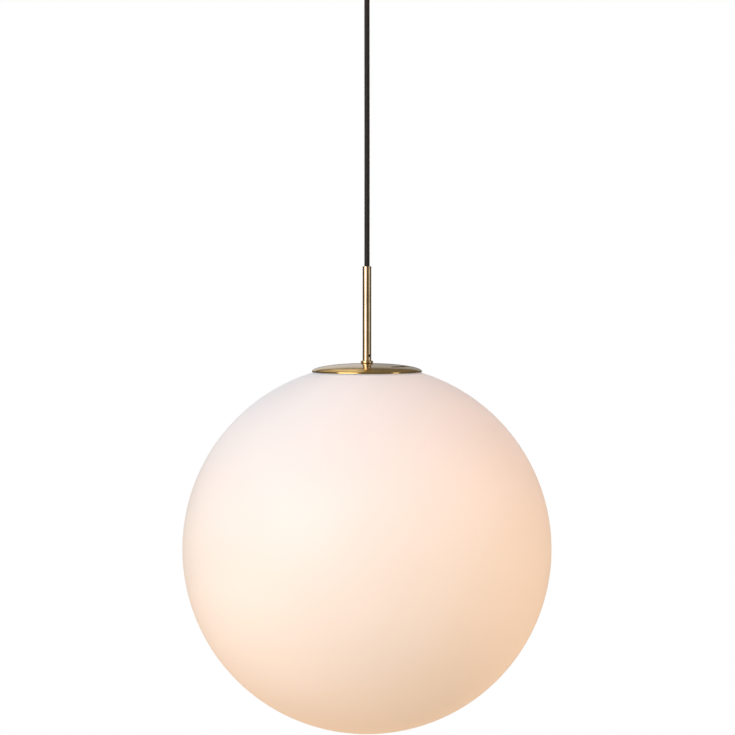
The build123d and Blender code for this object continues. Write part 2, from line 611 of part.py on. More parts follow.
with BuildPart() as collar:
    with BuildSketch(Plane.XY.offset(CAP_TOP)) as collar_outline:
        Circle(STEM_RADIUS + COLLAR_LEDGE)
        Circle(THREAD_HOLE, mode=Mode.SUBTRACT)
    extrude(amount=COLLAR_HEIGHT - SEAT_GAP)
    outer_rims = collar.edges().filter_by(GeomType.CIRCLE).group_by(SortBy.RADIUS)[-1]
    fillet(outer_rims, COLLAR_ROUND)
collar.part.label = "collar"
export_step(collar.part, "parts/collar.step")

with BuildPart() as distance_sleeve:
    with BuildSketch(Plane.XY.offset(CARRIER_TOP)) as sleeve_outline:
        Circle(NIPPLE_RADIUS + SLEEVE_WALL)
        Circle(THREAD_HOLE, mode=Mode.SUBTRACT)
    extrude(amount=CAP_TOP - CAP_WALL - SEAT_GAP - CARRIER_TOP)
distance_sleeve.part.label = "distance_sleeve"
export_step(distance_sleeve.part, "parts/distance_sleeve.step")

with BuildPart() as gallery_nut:
    with BuildSketch(Plane.XY.offset(CARRIER_UNDERSIDE)) as gallery_nut_outline:
        RegularPolygon(NIPPLE_RADIUS + GALLERY_NUT_WALL, 6, major_radius=False)
        Circle(THREAD_HOLE, mode=Mode.SUBTRACT)
    extrude(amount=-GALLERY_NUT_HEIGHT)
gallery_nut.part.label = "gallery_nut"
export_step(gallery_nut.part, "parts/gallery_nut.step")

# --------------------------------------------------------------------------- cap

DOME_HEIGHT = CAP_HEIGHT - CAP_LIP

with BuildPart() as cap:
    with BuildSketch(side_plane(CAP_RIM)) as dome_profile:
        with BuildLine():
            EllipticalCenterArc((0, CAP_LIP), CAP_RADIUS, DOME_HEIGHT, 0, arc_size=90)
            Line((0, CAP_HEIGHT), (0, CAP_HEIGHT - CAP_WALL))
            EllipticalCenterArc(
                (0, CAP_LIP), CAP_RADIUS - CAP_WALL, DOME_HEIGHT - CAP_WALL, 0, arc_size=90
            )
            Line((CAP_RADIUS - CAP_WALL, CAP_LIP), (CAP_RADIUS - CAP_WALL, 0))
            Line((CAP_RADIUS - CAP_WALL, 0), (CAP_RADIUS, 0))
            Line((CAP_RADIUS, 0), (CAP_RADIUS, CAP_LIP))
        make_face()
    revolve(axis=Axis.Z)
    with BuildSketch(Plane.XY.offset(CAP_TOP)) as cap_openings:
        Circle(THREAD_HOLE)
        for vent_azimuth in VENT_AZIMUTHS:
            vent_start = vent_azimuth - VENT_SWEEP / 2
            SlotArc(CenterArc((0, 0), VENT_RADIUS, vent_start, VENT_SWEEP), VENT_WIDTH)
    extrude(amount=-CAP_HEIGHT, mode=Mode.SUBTRACT)
cap.part.label = "cap"
export_step(cap.part, "parts/cap.step")

# ------------------------------------------------------------------------ gasket

GASKET_OUTER = CAP_RADIUS - CAP_WALL - LOOSE_FIT
GASKET_INNER = GASKET_OUTER - GASKET_WIDTH

with BuildPart() as gasket:
    with BuildSketch(side_plane(0.0)) as gasket_profile:
        with BuildLine():
            Polyline(
                (GASKET_INNER, glass_height(GASKET_INNER) + LOOSE_FIT),
                (GASKET_OUTER, glass_height(GASKET_OUTER) + LOOSE_FIT),
                (GASKET_OUTER, glass_height(GASKET_OUTER) + LOOSE_FIT + GASKET_THICKNESS),
                (GASKET_INNER, glass_height(GASKET_INNER) + LOOSE_FIT + GASKET_THICKNESS),
                close=True,
            )
        make_face()
    revolve(axis=Axis.Z)
gasket.part.label = "gasket"
export_step(gasket.part, "parts/gasket.step")

# ------------------------------------------------- spring carrier, arms and rivets

LOBE_RADIUS = GLASS_EDGE_RADIUS - LOBE_SETBACK
RIVET_RADII = [LOBE_RADIUS - setback for setback in RIVET_SETBACKS]
RIVET_PLACES = [
    (radius * cos(radians(azimuth)), radius * sin(radians(azimuth)))
    for azimuth in ARM_AZIMUTHS
    for radius in RIVET_RADII
]
RIVET_HOLE = RIVET_DIAMETER / 2 + RUNNING_FIT

with BuildPart() as spring_carrier:
    with BuildSketch(Plane.XY.offset(CARRIER_UNDERSIDE)) as carrier_outline:
        Circle(CARRIER_RADIUS)
        for arm_azimuth in ARM_AZIMUTHS:
            with Locations(Location((0, 0, 0), (0, 0, arm_azimuth))):
                with Locations((LOBE_RADIUS / 2, 0)):
                    Rectangle(LOBE_RADIUS, LOBE_WIDTH)
        fillet(carrier_outline.vertices(), CARRIER_FILLET)
        Circle(THREAD_HOLE, mode=Mode.SUBTRACT)
        with Locations(*RIVET_PLACES):
            Circle(RIVET_HOLE, mode=Mode.SUBTRACT)
    extrude(amount=CARRIER_THICKNESS)
spring_carrier.part.label = "spring_carrier"
export_step(spring_carrier.part, "parts/spring_carrier.step")

ARM_LEVEL = -ARM_THICKNESS / 2
ARM_TIP_RADIUS = GLASS_EDGE_RADIUS - ARM_TIP_SETBACK
ARM_CORNER = GLASS_EDGE_RADIUS + ARM_HOOK + 0.5 * ARM_BEND

for arm_number, arm_azimuth in enumerate(ARM_AZIMUTHS, start=1):
    with BuildPart() as spring_arm:
        with BuildSketch(radial_plane(arm_azimuth, CARRIER_UNDERSIDE)) as arm_side:
            with BuildLine() as arm_line:
                FilletPolyline(
                    (LOBE_RADIUS - ARM_LAP, ARM_LEVEL),
                    (ARM_CORNER, ARM_LEVEL),
                    (ARM_TIP_RADIUS, -ARM_LENGTH),
                    (ARM_TIP_RADIUS + ARM_TIP_CURL, -ARM_LENGTH - ARM_TIP_CURL),
                    radius=ARM_BEND,
                )
            trace(arm_line.line, ARM_THICKNESS)
        extrude(amount=ARM_WIDTH / 2, both=True)
        with BuildSketch(Plane.XY.offset(CARRIER_UNDERSIDE)) as arm_rivet_holes:
            with Locations(*RIVET_PLACES):
                Circle(RIVET_HOLE)
        extrude(amount=-2 * ARM_THICKNESS, mode=Mode.SUBTRACT)
    spring_arm.part.label = f"spring_arm_{arm_number}"
    export_step(spring_arm.part, f"parts/spring_arm_{arm_number}.step")

with BuildPart() as arm_rivets:
    with BuildSketch(Plane.XY.offset(CARRIER_TOP)) as rivet_heads:
        with Locations(*RIVET_PLACES):
            Circle(RIVET_HEAD_DIAMETER / 2)
    extrude(amount=RIVET_HEAD_HEIGHT)
    chamfer(arm_rivets.edges().group_by(Axis.Z)[-1], RIVET_CHAMFER)
    with BuildSketch(Plane.XY.offset(CARRIER_TOP)) as rivet_shanks:
        with Locations(*RIVET_PLACES):
            Circle(RIVET_DIAMETER / 2)
    extrude(amount=-(CARRIER_THICKNESS + ARM_THICKNESS))
    with BuildSketch(Plane.XY.offset(CARRIER_UNDERSIDE - ARM_THICKNESS)) as rivet_tails:
        with Locations(*RIVET_PLACES):
            Circle(RIVET_HEAD_DIAMETER / 2)
    extrude(amount=-RIVET_HEAD_HEIGHT)
arm_rivets.part.label = "arm_rivets"
export_step(arm_rivets.part, "parts/arm_rivets.step")

# -------------------------------------------------------------------- lampholder

HOLDER_RADIUS = HOLDER_DIAMETER / 2
HOLDER_INSIDE = HOLDER_RADIUS - HOLDER_WALL

with BuildPart() as lampholder_cap:
    with BuildSketch(Plane.XY.offset(HOLDER_TOP)) as holder_cap_outline:
        Circle(HOLDER_RADIUS)
    extrude(amount=-HOLDER_CAP_HEIGHT)
    fillet(lampholder_cap.faces().sort_by(Axis.Z)[-1].edges(), HOLDER_CAP_ROUND)
    offset(amount=-HOLDER_WALL, openings=lampholder_cap.faces().sort_by(Axis.Z)[0])
    with BuildSketch(Plane.XY.offset(HOLDER_TOP)) as holder_nipple_hole:
        Circle(THREAD_HOLE)
    extrude(amount=-2 * HOLDER_WALL, mode=Mode.SUBTRACT)
lampholder_cap.part.label = "lampholder_cap"
export_step(lampholder_cap.part, "parts/lampholder_cap.step")

with BuildPart() as lampholder_nut:
    with BuildSketch(Plane.XY.offset(HOLDER_TOP - HOLDER_WALL)) as holder_nut_outline:
        RegularPolygon(NIPPLE_RADIUS + HOLDER_NUT_WALL, 6, major_radius=False)
        Circle(THREAD_HOLE, mode=Mode.SUBTRACT)
    extrude(amount=-HOLDER_NUT_HEIGHT)
lampholder_nut.part.label = "lampholder_nut"
export_step(lampholder_nut.part, "parts/lampholder_nut.step")

with BuildPart() as lampholder_body:
    with BuildSketch(Plane.XY.offset(HOLDER_JOIN)) as holder_body_outline:
        Circle(HOLDER_RADIUS)
        Circle(HOLDER_INSIDE, mode=Mode.SUBTRACT)
    extrude(amount=-HOLDER_BODY_HEIGHT)
    fillet(lampholder_body.edges().group_by(Axis.Z)[0], HOLDER_EDGE_ROUND)
lampholder_body.part.label = "lampholder_body"
export_step(lampholder_body.part, "parts/lampholder_body.step")

with BuildPart() as lampholder_ring:
    with BuildSketch(Plane.XY.offset(HOLDER_JOIN - HOLDER_RING_DROP)) as ring_outline:
        Circle(HOLDER_RADIUS + HOLDER_RING_WIDTH)
        Circle(HOLDER_RADIUS + RUNNING_FIT, mode=Mode.SUBTRACT)
    extrude(amount=-HOLDER_RING_HEIGHT)
    ring_rims = lampholder_ring.edges().filter_by(GeomType.CIRCLE)
    fillet(ring_rims.group_by(SortBy.RADIUS)[-1], HOLDER_RING_ROUND)
lampholder_ring.part.label = "lampholder_ring"
export_step(lampholder_ring.part, "parts/lampholder_ring.step")

with BuildPart() as lampholder_insert:
    with BuildSketch(Plane.XY.offset(INSERT_TOP)) as insert_outline:
        Circle(HOLDER_INSIDE - SEAT_GAP)
    extrude(amount=-INSERT_HEIGHT)
    chamfer(lampholder_insert.edges(), INSERT_CHAMFER)
lampholder_insert.part.label = "lampholder_insert"
export_step(lampholder_insert.part, "parts/lampholder_insert.step")

BULB_THREAD_RADIUS = BULB_THREAD_DIAMETER / 2
SHELL_BORE_RADIUS = BULB_THREAD_RADIUS + LOOSE_FIT

with BuildPart() as screw_shell:
    with BuildSketch(Plane.XY.offset(INSERT_UNDERSIDE)) as shell_outline:
        Circle(SHELL_BORE_RADIUS + SHELL_WALL)
        Circle(SHELL_BORE_RADIUS, mode=Mode.SUBTRACT)
    extrude(amount=-SHELL_HEIGHT)
screw_shell.part.label = "screw_shell"
export_step(screw_shell.part, "parts/screw_shell.step")

with BuildPart() as centre_contact:
    with BuildSketch(Plane.XY.offset(INSERT_UNDERSIDE)) as contact_outline:
        SlotOverall(CONTACT_LENGTH, CONTACT_WIDTH)
    extrude(amount=-CONTACT_THICKNESS)
centre_contact.part.label = "centre_contact"
export_step(centre_contact.part, "parts/centre_contact.step")

TERMINAL_WIRE = INSERT_TOP + TERMINAL_HEIGHT / 2

with BuildPart() as lampholder_terminals:
    for terminal_azimuth in TERMINAL_AZIMUTHS:
        with BuildSketch(Plane.XY.offset(INSERT_TOP)) as terminal_outline:
            with Locations(Location((0, 0, 0), (0, 0, terminal_azimuth))):
                with Locations((TERMINAL_RADIUS, 0)):
                    Rectangle(TERMINAL_SIZE, TERMINAL_SIZE)
        extrude(amount=TERMINAL_HEIGHT)
    for terminal_azimuth in TERMINAL_AZIMUTHS:
        with BuildSketch(outward_plane(terminal_azimuth, 0.0, TERMINAL_WIRE)):
            Circle(CORE_RADIUS + SEAT_GAP)
        extrude(amount=TERMINAL_RADIUS, mode=Mode.SUBTRACT)
lampholder_terminals.part.label = "lampholder_terminals"
export_step(lampholder_terminals.part, "parts/lampholder_terminals.step")

with BuildPart() as lampholder_screws:
    with BuildSketch(Plane.XY.offset(TERMINAL_TOP)) as holder_screw_heads:
        with PolarLocations(TERMINAL_RADIUS, 3, start_angle=TERMINAL_AZIMUTHS[0]):
            Circle(TERMINAL_SCREW_DIAMETER / 2)
    extrude(amount=TERMINAL_SCREW_HEAD)
    with BuildSketch(Plane.XY.offset(TERMINAL_TOP + TERMINAL_SCREW_HEAD)) as holder_screw_slots:
        with PolarLocations(TERMINAL_RADIUS, 3, start_angle=TERMINAL_AZIMUTHS[0]):
            Rectangle(2 * TERMINAL_SCREW_DIAMETER, SCREW_SLOT_WIDTH)
    extrude(amount=-SCREW_SLOT_DEPTH, mode=Mode.SUBTRACT)
lampholder_screws.part.label = "lampholder_screws"
export_step(lampholder_screws.part, "parts/lampholder_screws.step")

CORE_NAMES = ("live", "neutral", "earth")

for core_name, core_azimuth in zip(CORE_NAMES, TERMINAL_AZIMUTHS):
    with BuildPart() as lower_core:
        with BuildLine(radial_plane(core_azimuth, 0.0)) as lower_route:
            FilletPolyline(
                (CORE_SPREAD, CORD_FOOT),
                (CORE_SPREAD, TERMINAL_WIRE),
                (TERMINAL_RADIUS - SEAT_GAP, TERMINAL_WIRE),
                radius=2.5 * CORE_RADIUS,
            )
        with BuildSketch(Plane(lower_route.line @ 0, z_dir=lower_route.line % 0)):
            Circle(CORE_RADIUS)
        sweep()
    lower_core.part.label = f"lower_core_{core_name}"
    export_step(lower_core.part, f"parts/lower_core_{core_name}.step")

# -------------------------------------------------------------------------- bulb

with BuildPart() as bulb_contact:
    with BuildSketch(Plane.XY.offset(BULB_TOP)) as bulb_contact_outline:
        Circle(BULB_CONTACT_DIAMETER / 2)
    extrude(amount=-BULB_CONTACT_HEIGHT)
    fillet(bulb_contact.edges().group_by(Axis.Z)[-1], BULB_CONTACT_ROUND)
bulb_contact.part.label = "bulb_contact"
export_step(bulb_contact.part, "parts/bulb_contact.step")

with BuildPart() as bulb_insulator:
    with BuildSketch(side_plane(BULB_SHELL_TOP)) as insulator_profile:
        with BuildLine():
            Polyline(
                (0, 0),
                (BULB_THREAD_RADIUS - BULB_SHOULDER - BULB_SHELL_WALL, 0),
                (BULB_CONTACT_DIAMETER / 2 + BULB_INSULATOR_LEDGE, BULB_INSULATOR_HEIGHT),
                (0, BULB_INSULATOR_HEIGHT),
                close=True,
            )
        make_face()
    revolve(axis=Axis.Z)
bulb_insulator.part.label = "bulb_insulator"
export_step(bulb_insulator.part, "parts/bulb_insulator.step")

with BuildPart() as bulb_screw_cap:
    with BuildSketch(Plane.XY.offset(BULB_SHELL_TOP)) as bulb_cap_outline:
        Circle(BULB_THREAD_RADIUS)
    extrude(amount=-BULB_THREAD_HEIGHT)
    fillet(bulb_screw_cap.faces().sort_by(Axis.Z)[-1].edges(), BULB_SHOULDER)
    offset(amount=-BULB_SHELL_WALL, openings=bulb_screw_cap.faces().sort_by(Axis.Z)[0])
bulb_screw_cap.part.label = "bulb_screw_cap"
export_step(bulb_screw_cap.part, "parts/bulb_screw_cap.step")

with BuildPart() as bulb_collar:
    with BuildSketch(side_plane(BULB_NECK)) as bulb_collar_profile:
        with BuildLine():
            Polyline(
                (0, 0),
                (BULB_NECK_RADIUS, 0),
                (BULB_NECK_RADIUS, BULB_COLLAR_RIM),
                (BULB_THREAD_RADIUS + BULB_COLLAR_LEDGE, BULB_COLLAR_HEIGHT - BULB_COLLAR_RIM),
                (BULB_THREAD_RADIUS + BULB_COLLAR_LEDGE, BULB_COLLAR_HEIGHT),
                (0, BULB_COLLAR_HEIGHT),
                close=True,
            )
        make_face()
    revolve(axis=Axis.Z)
bulb_collar.part.label = "bulb_collar"
export_step(bulb_collar.part, "parts/bulb_collar.step")

with BuildPart() as bulb_envelope:
    with Locations((0, 0, BULB_CENTRE)):
        Sphere(BULB_RADIUS)
        Sphere(BULB_RADIUS - BULB_GLASS_WALL, mode=Mode.SUBTRACT)
    with BuildSketch(Plane.XY.offset(BULB_NECK)) as envelope_cut:
        Circle(BULB_RADIUS)
    extrude(amount=BULB_RADIUS, mode=Mode.SUBTRACT)
bulb_envelope.part.label = "bulb_envelope"
export_step(bulb_envelope.part, "parts/bulb_envelope.step")

# ------------------------------------------------------------------------- globe

with BuildPart() as opal_globe:
    with Locations((0, 0, GLOBE_CENTRE)):
        Sphere(GLOBE_RADIUS)
        Sphere(GLOBE_RADIUS - GLASS_WALL, mode=Mode.SUBTRACT)
    with BuildSketch(Plane.XY.offset(GLOBE_CENTRE)) as opening_cut:
        Circle(GLASS_EDGE_RADIUS)
    extrude(amount=2 * GLOBE_RADIUS, mode=Mode.SUBTRACT)
    edge_rims = opal_globe.edges().filter_by(GeomType.CIRCLE)
    fillet(edge_rims.group_by(Axis.Z)[-2:], GLASS_EDGE_ROUND)
opal_globe.part.label = "opal_globe"
export_step(opal_globe.part, "parts/opal_globe.step")

# ------------------------------------------------------------------------ report

print(f"pivot {PIVOT:.2f}, cord foot {CORD_FOOT:.2f}, cord length {PIVOT - CORD_FOOT:.2f}")
print(f"stem {STEM_TOP:.2f} to {STEM_FOOT:.2f}, cap rim {CAP_RIM:.2f}")
print(f"globe centre {GLOBE_CENTRE:.2f}, bulb {BULB_TOP:.2f} to {BULB_CENTRE - BULB_RADIUS:.2f}")
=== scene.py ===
from math import atan2, cos, pi, radians, sin, sqrt

import bmesh
import bpy
from mathutils import Matrix, Vector


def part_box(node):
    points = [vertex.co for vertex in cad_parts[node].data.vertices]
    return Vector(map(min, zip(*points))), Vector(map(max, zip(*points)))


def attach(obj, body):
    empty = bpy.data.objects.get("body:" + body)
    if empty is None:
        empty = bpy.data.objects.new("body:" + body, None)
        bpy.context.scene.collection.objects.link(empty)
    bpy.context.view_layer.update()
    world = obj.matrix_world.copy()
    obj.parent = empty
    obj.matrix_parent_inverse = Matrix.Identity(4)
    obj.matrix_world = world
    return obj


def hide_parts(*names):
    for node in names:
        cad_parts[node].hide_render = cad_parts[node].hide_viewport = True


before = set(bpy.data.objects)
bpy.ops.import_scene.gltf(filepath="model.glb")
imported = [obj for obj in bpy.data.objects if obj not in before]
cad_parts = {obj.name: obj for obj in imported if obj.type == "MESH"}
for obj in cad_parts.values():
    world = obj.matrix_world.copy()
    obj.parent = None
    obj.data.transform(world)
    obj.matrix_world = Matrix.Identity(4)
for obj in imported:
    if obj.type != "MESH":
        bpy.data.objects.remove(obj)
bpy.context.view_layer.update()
scene = bpy.context.scene

# ------------------------------------------------------------------ view and light
# The lamp is looked at from a little above the level of its cap, through a long
# lens. The edge of the frame cuts the cord just below its grip in the canopy.

cap_low, cap_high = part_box("cap")
globe_low, globe_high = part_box("opal_globe")
GLOBE_RADIUS = (globe_high.x - globe_low.x) / 2
GLOBE_CENTRE = globe_low.z + GLOBE_RADIUS
CAP_RIM = cap_low.z

VIEW_DISTANCE = 3.3
VIEW_TILT = radians(2.1)
FRAME_WIDTH = 3.98 * GLOBE_RADIUS
AIM_ABOVE_RIM = 0.0049
AIM_ASIDE = 0.0006

def linked(name, data):
    """A new object in the scene, at the origin."""
    whole = bpy.data.objects.new(name, data)
    scene.collection.objects.link(whole)
    return whole


camera_data = bpy.data.cameras.new("view")
camera = linked("view", camera_data)
aim = Vector((AIM_ASIDE, 0, CAP_RIM + AIM_ABOVE_RIM))
camera.location = aim + VIEW_DISTANCE * Vector((0, -cos(VIEW_TILT), sin(VIEW_TILT)))
camera.rotation_euler = (radians(90) - VIEW_TILT, 0, 0)
camera_data.lens = camera_data.sensor_width * VIEW_DISTANCE / FRAME_WIDTH
camera_data.clip_end = 100
scene.camera = camera
scene.view_settings.view_transform = "Standard"


def softbox(name, place, target, size, power, colour, mirrored=True):
    """A rectangular studio light that faces a target; polished metal may mirror it or not."""
    light_data = bpy.data.lights.new(name, "AREA")
    light_data.shape = "RECTANGLE"
    light_data.size, light_data.size_y = size
    light_data.energy = power
    light_data.color = colour
    light = linked(name, light_data)
    light.location = place
    light.rotation_euler = (Vector(target) - Vector(place)).to_track_quat("-Z", "Y").to_euler()
    light.visible_camera = False
    light.visible_glossy = mirrored

GLOBE_MIDDLE = (0, 0, GLOBE_CENTRE)
softbox("key_softbox", (-1.75, -2.05, 0.25), GLOBE_MIDDLE, (2.3, 2.6), 58, (1.0, 0.88, 0.86))
softbox("right_strip", (2.4, -1.2, -0.3), GLOBE_MIDDLE, (0.7, 2.4), 7, (1.0, 0.95, 0.90))
softbox("warm_fill", (2.17, -0.58, 0.65), GLOBE_MIDDLE, (1.4, 1.4), 30, (1.0, 0.50, 0.22), False)
softbox("overhead_left", (-1.65, 1.2, 1.6), (-1.65, 1.2, 0), (3.0, 3.4), 14, (1.0, 0.92, 0.78))
softbox("overhead_strip", (-0.36, 2.0, 1.5), (-0.36, 2.0, 0), (0.7, 3.2), 3, (1.0, 0.92, 0.78))
softbox("back_left", (-0.85, 2.6, 0.20), (-0.85, 0, CAP_RIM), (1.7, 0.85), 3.0, (0.90, 0.92, 1.0))
softbox("back_right", (0.85, 2.6, 0.20), (0.85, 0, CAP_RIM), (1.7, 0.85), 1.5, (0.84, 0.90, 1.0))

def set_inputs(node, **values):
    """Sets a node's inputs by name; an underscore stands for a space."""
    for name, value in values.items():
        node.inputs[name.replace("_", " ")].default_value = value


class Shading:
    """A shader tree, with short calls to add and join its nodes."""

    def __init__(self, tree):
        self.nodes, self.links = tree.nodes, tree.links

    def add(self, kind, **values):
        node = self.nodes.new(kind)
        set_inputs(node, **values)
        return node

    def join(self, source, target, socket):
        """Joins a node's first output, or a given output, to an input."""
        output = source if isinstance(source, bpy.types.NodeSocket) else source.outputs[0]
        self.links.new(output, target.inputs[socket])

    def parts(self, kind="Object"):
        """The X, Y and Z of a kind of coordinates."""
        parts = self.add("ShaderNodeSeparateXYZ")
        self.join(self.add("ShaderNodeTexCoord").outputs[kind], parts, "Vector")
        return parts.outputs

    def ramp(self, value, stops):
        """Colours that follow a value; each stop is a place from 0 to 1 and a colour."""
        ramp = self.add("ShaderNodeValToRGB")
        elements = ramp.color_ramp.elements
        for place, _ in stops[1:-1]:
            elements.new(place)
        for element, (place, colour) in zip(elements, stops):
            element.position = place
            element.color = (*colour, 1)
        self.join(value, ramp, "Fac")
        return ramp


ROOM_LEVELS = (
    (0.0, (0.95, 0.66, 0.46)),
    (0.30, (0.85, 0.58, 0.40)),
    (0.44, (0.13, 0.11, 0.09)),
    (0.52, (0.11, 0.10, 0.095)),
    (0.75, (0.20, 0.17, 0.15)),
    (1.0, (0.30, 0.28, 0.27)),
)
world = bpy.data.worlds.new("studio")
world.use_nodes = True
scene.world = world
room = Shading(world.node_tree)
room.nodes.clear()
height_share = room.add("ShaderNodeMapRange", From_Min=-1)
room.join(room.parts("Generated")["Z"], height_share, "Value")
room_light = room.add("ShaderNodeBackground")
room.join(room.ramp(height_share, ROOM_LEVELS), room_light, "Color")
seen_or_lit = room.add("ShaderNodeMixShader")
room.join(room.add("ShaderNodeLightPath").outputs["Is Camera Ray"], seen_or_lit, "Fac")
room.join(room_light, seen_or_lit, 1)
room.join(room.add("ShaderNodeBackground", Color=(1, 1, 1, 1)), seen_or_lit, 2)
room.join(seen_or_lit, room.add("ShaderNodeOutputWorld"), "Surface")

FLOOR_DEPTH = 2.2  # below the globe
FLOOR_RADIUS = 3.0


class Finish(Shading):
    """A node material: the shader, and the patterns that finishes are made of."""

    def __init__(self, name, colour, roughness=0.5, **settings):
        self.material = bpy.data.materials.new(name)
        self.material.use_nodes = True
        super().__init__(self.material.node_tree)
        self.shader = self.nodes["Principled BSDF"]
        set_inputs(self.shader, Base_Color=(*colour, 1), Roughness=roughness, **settings)
        self.material.diffuse_color = (*colour, 1)

    def places(self, stretch=(1, 1, 1)):
        """Object coordinates, stretched so that a pattern can be finer along one axis."""
        mapping = self.add("ShaderNodeMapping", Scale=stretch)
        self.join(self.add("ShaderNodeTexCoord").outputs["Object"], mapping, "Vector")
        return mapping

    def noise(self, places, scale, detail=3.0, roughness=0.5):
        noise = self.add("ShaderNodeTexNoise", Scale=scale, Detail=detail, Roughness=roughness)
        self.join(places, noise, "Vector")
        return noise.outputs["Fac"]

    def shades(self, value, *stops):
        """Base colour that runs through the stops."""
        self.join(self.ramp(value, stops), self.shader, "Base Color")

    def gloss(self, value, smooth, rough):
        """Roughness that follows a pattern, between two values."""
        spread = self.add("ShaderNodeMapRange", To_Min=smooth, To_Max=rough)
        self.join(value, spread, "Value")
        self.join(spread, self.shader, "Roughness")

    def relief(self, value, depth, strength=1.0):
        """Bump from a pattern, depth in metres."""
        bump = self.add("ShaderNodeBump", Strength=strength, Distance=depth)
        self.join(value, bump, "Height")
        self.join(bump, self.shader, "Normal")


def worn(
    name, colour, roughness, scale, detail=3.0, stretch=(1, 1, 1),
    shades=(), gloss=(), relief=0.0, **settings
):
    """A finish whose colour, roughness and bump follow one noise pattern."""
    finish = Finish(name, colour, roughness, **settings)
    pattern = finish.noise(finish.places(stretch), scale, detail)
    if shades:
        finish.shades(pattern, *shades)
    if gloss:
        finish.gloss(pattern, *gloss)
    if relief:
        finish.relief(pattern, relief)
    return finish


def plain_mesh(name, shape):
    """Keeps what was built as a mesh."""
    mesh = bpy.data.meshes.new(name)
    shape.to_mesh(mesh)
    shape.free()
    return mesh


floor_finish = worn(
    "pale_floor", (0.88, 0.77, 0.64), 0.7, 60.0,
    shades=((0.3, (0.86, 0.75, 0.62)), (0.7, (0.90, 0.79, 0.66))),
)
floor_shape = bmesh.new()
bmesh.ops.create_circle(floor_shape, cap_ends=True, segments=96, radius=FLOOR_RADIUS)
floor_level = (0, 0, globe_low.z - FLOOR_DEPTH)
bmesh.ops.translate(floor_shape, verts=floor_shape.verts, vec=floor_level)
floor = linked("floor", plain_mesh("floor", floor_shape))
floor.data.materials.append(floor_finish.material)
# ---------------------------------------------------------------------------- cord
# Round flex in a black textile sleeve: sixteen yarns braided over the jacket, two
# over and two under. The lamp's weight holds it straight, with a faint lean.

cord_low, cord_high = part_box("cord")
CORD_RADIUS = (cord_high.x - cord_low.x) / 2
CORD_TOP = cord_high.z - CORD_RADIUS
JACKET_SHARE = 0.93
CORD_LEAN = 0.00012  # sideways, a third of the way down
CORD_SHARES = (0, 0.1, 0.25, 0.45, 0.7, 0.85, 1)
CORD_LEANS = (0, 0, 0.6, 1, 0.35, 0, 0)


def curve_object(name, points, radius, sides=6):
    """A round tube along a smooth open line through given points."""
    curve = bpy.data.curves.new(name, "CURVE")
    curve.dimensions = "3D"
    curve.resolution_u = 12
    curve.bevel_depth = radius
    curve.bevel_resolution = sides
    curve.use_fill_caps = True
    spline = curve.splines.new("NURBS")
    spline.points.add(len(points) - 1)
    for spline_point, place in zip(spline.points, points):
        spline_point.co = (*place, 1)
    spline.order_u = 3
    spline.use_endpoint_u = True
    return linked(name, curve)


def dress(piece, finish, body, slot, *nodes):
    """Gives a piece its finish and its body, and hides the CAD nodes that it stands for; the slot
    is not used.
    """
    piece.data.materials.clear()
    piece.data.materials.append(finish.material)
    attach(piece, body)
    if nodes:
        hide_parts(*nodes)


cord_points = [
    (CORD_LEAN * lean, 0, CORD_TOP + (cord_low.z - CORD_TOP) * share)
    for share, lean in zip(CORD_SHARES, CORD_LEANS)
]
cord = curve_object("cord_jacket", cord_points, CORD_RADIUS * JACKET_SHARE)

textile = Finish("black_textile", (0.010, 0.011, 0.013), roughness=0.5, Sheen_Weight=0.2)
set_inputs(textile.shader, Sheen_Roughness=0.4, Sheen_Tint=(0.6, 0.6, 0.65, 1))
yarn_fibres = textile.noise(textile.places((1, 1, 0.25)), 9000.0, detail=2.0)
textile.shades(yarn_fibres, (0.3, (0.0035, 0.0045, 0.007)), (0.75, (0.013, 0.016, 0.023)))
textile.relief(yarn_fibres, 0.00008)
dress(cord, textile, "pendant", "textile", "cord")

BRAID_YARNS = 16
BRAID_STEPS = 3  # along a yarn, from one crossing to the next
YARN_WIDTH = 0.00115
YARN_THICKNESS = 0.00045
BRAID_TURNS = (CORD_TOP - cord_low.z) / (2 * pi * CORD_RADIUS)
BRAID_RADIUS = CORD_RADIUS - YARN_THICKNESS * 0.55
SEAM = 1e-6


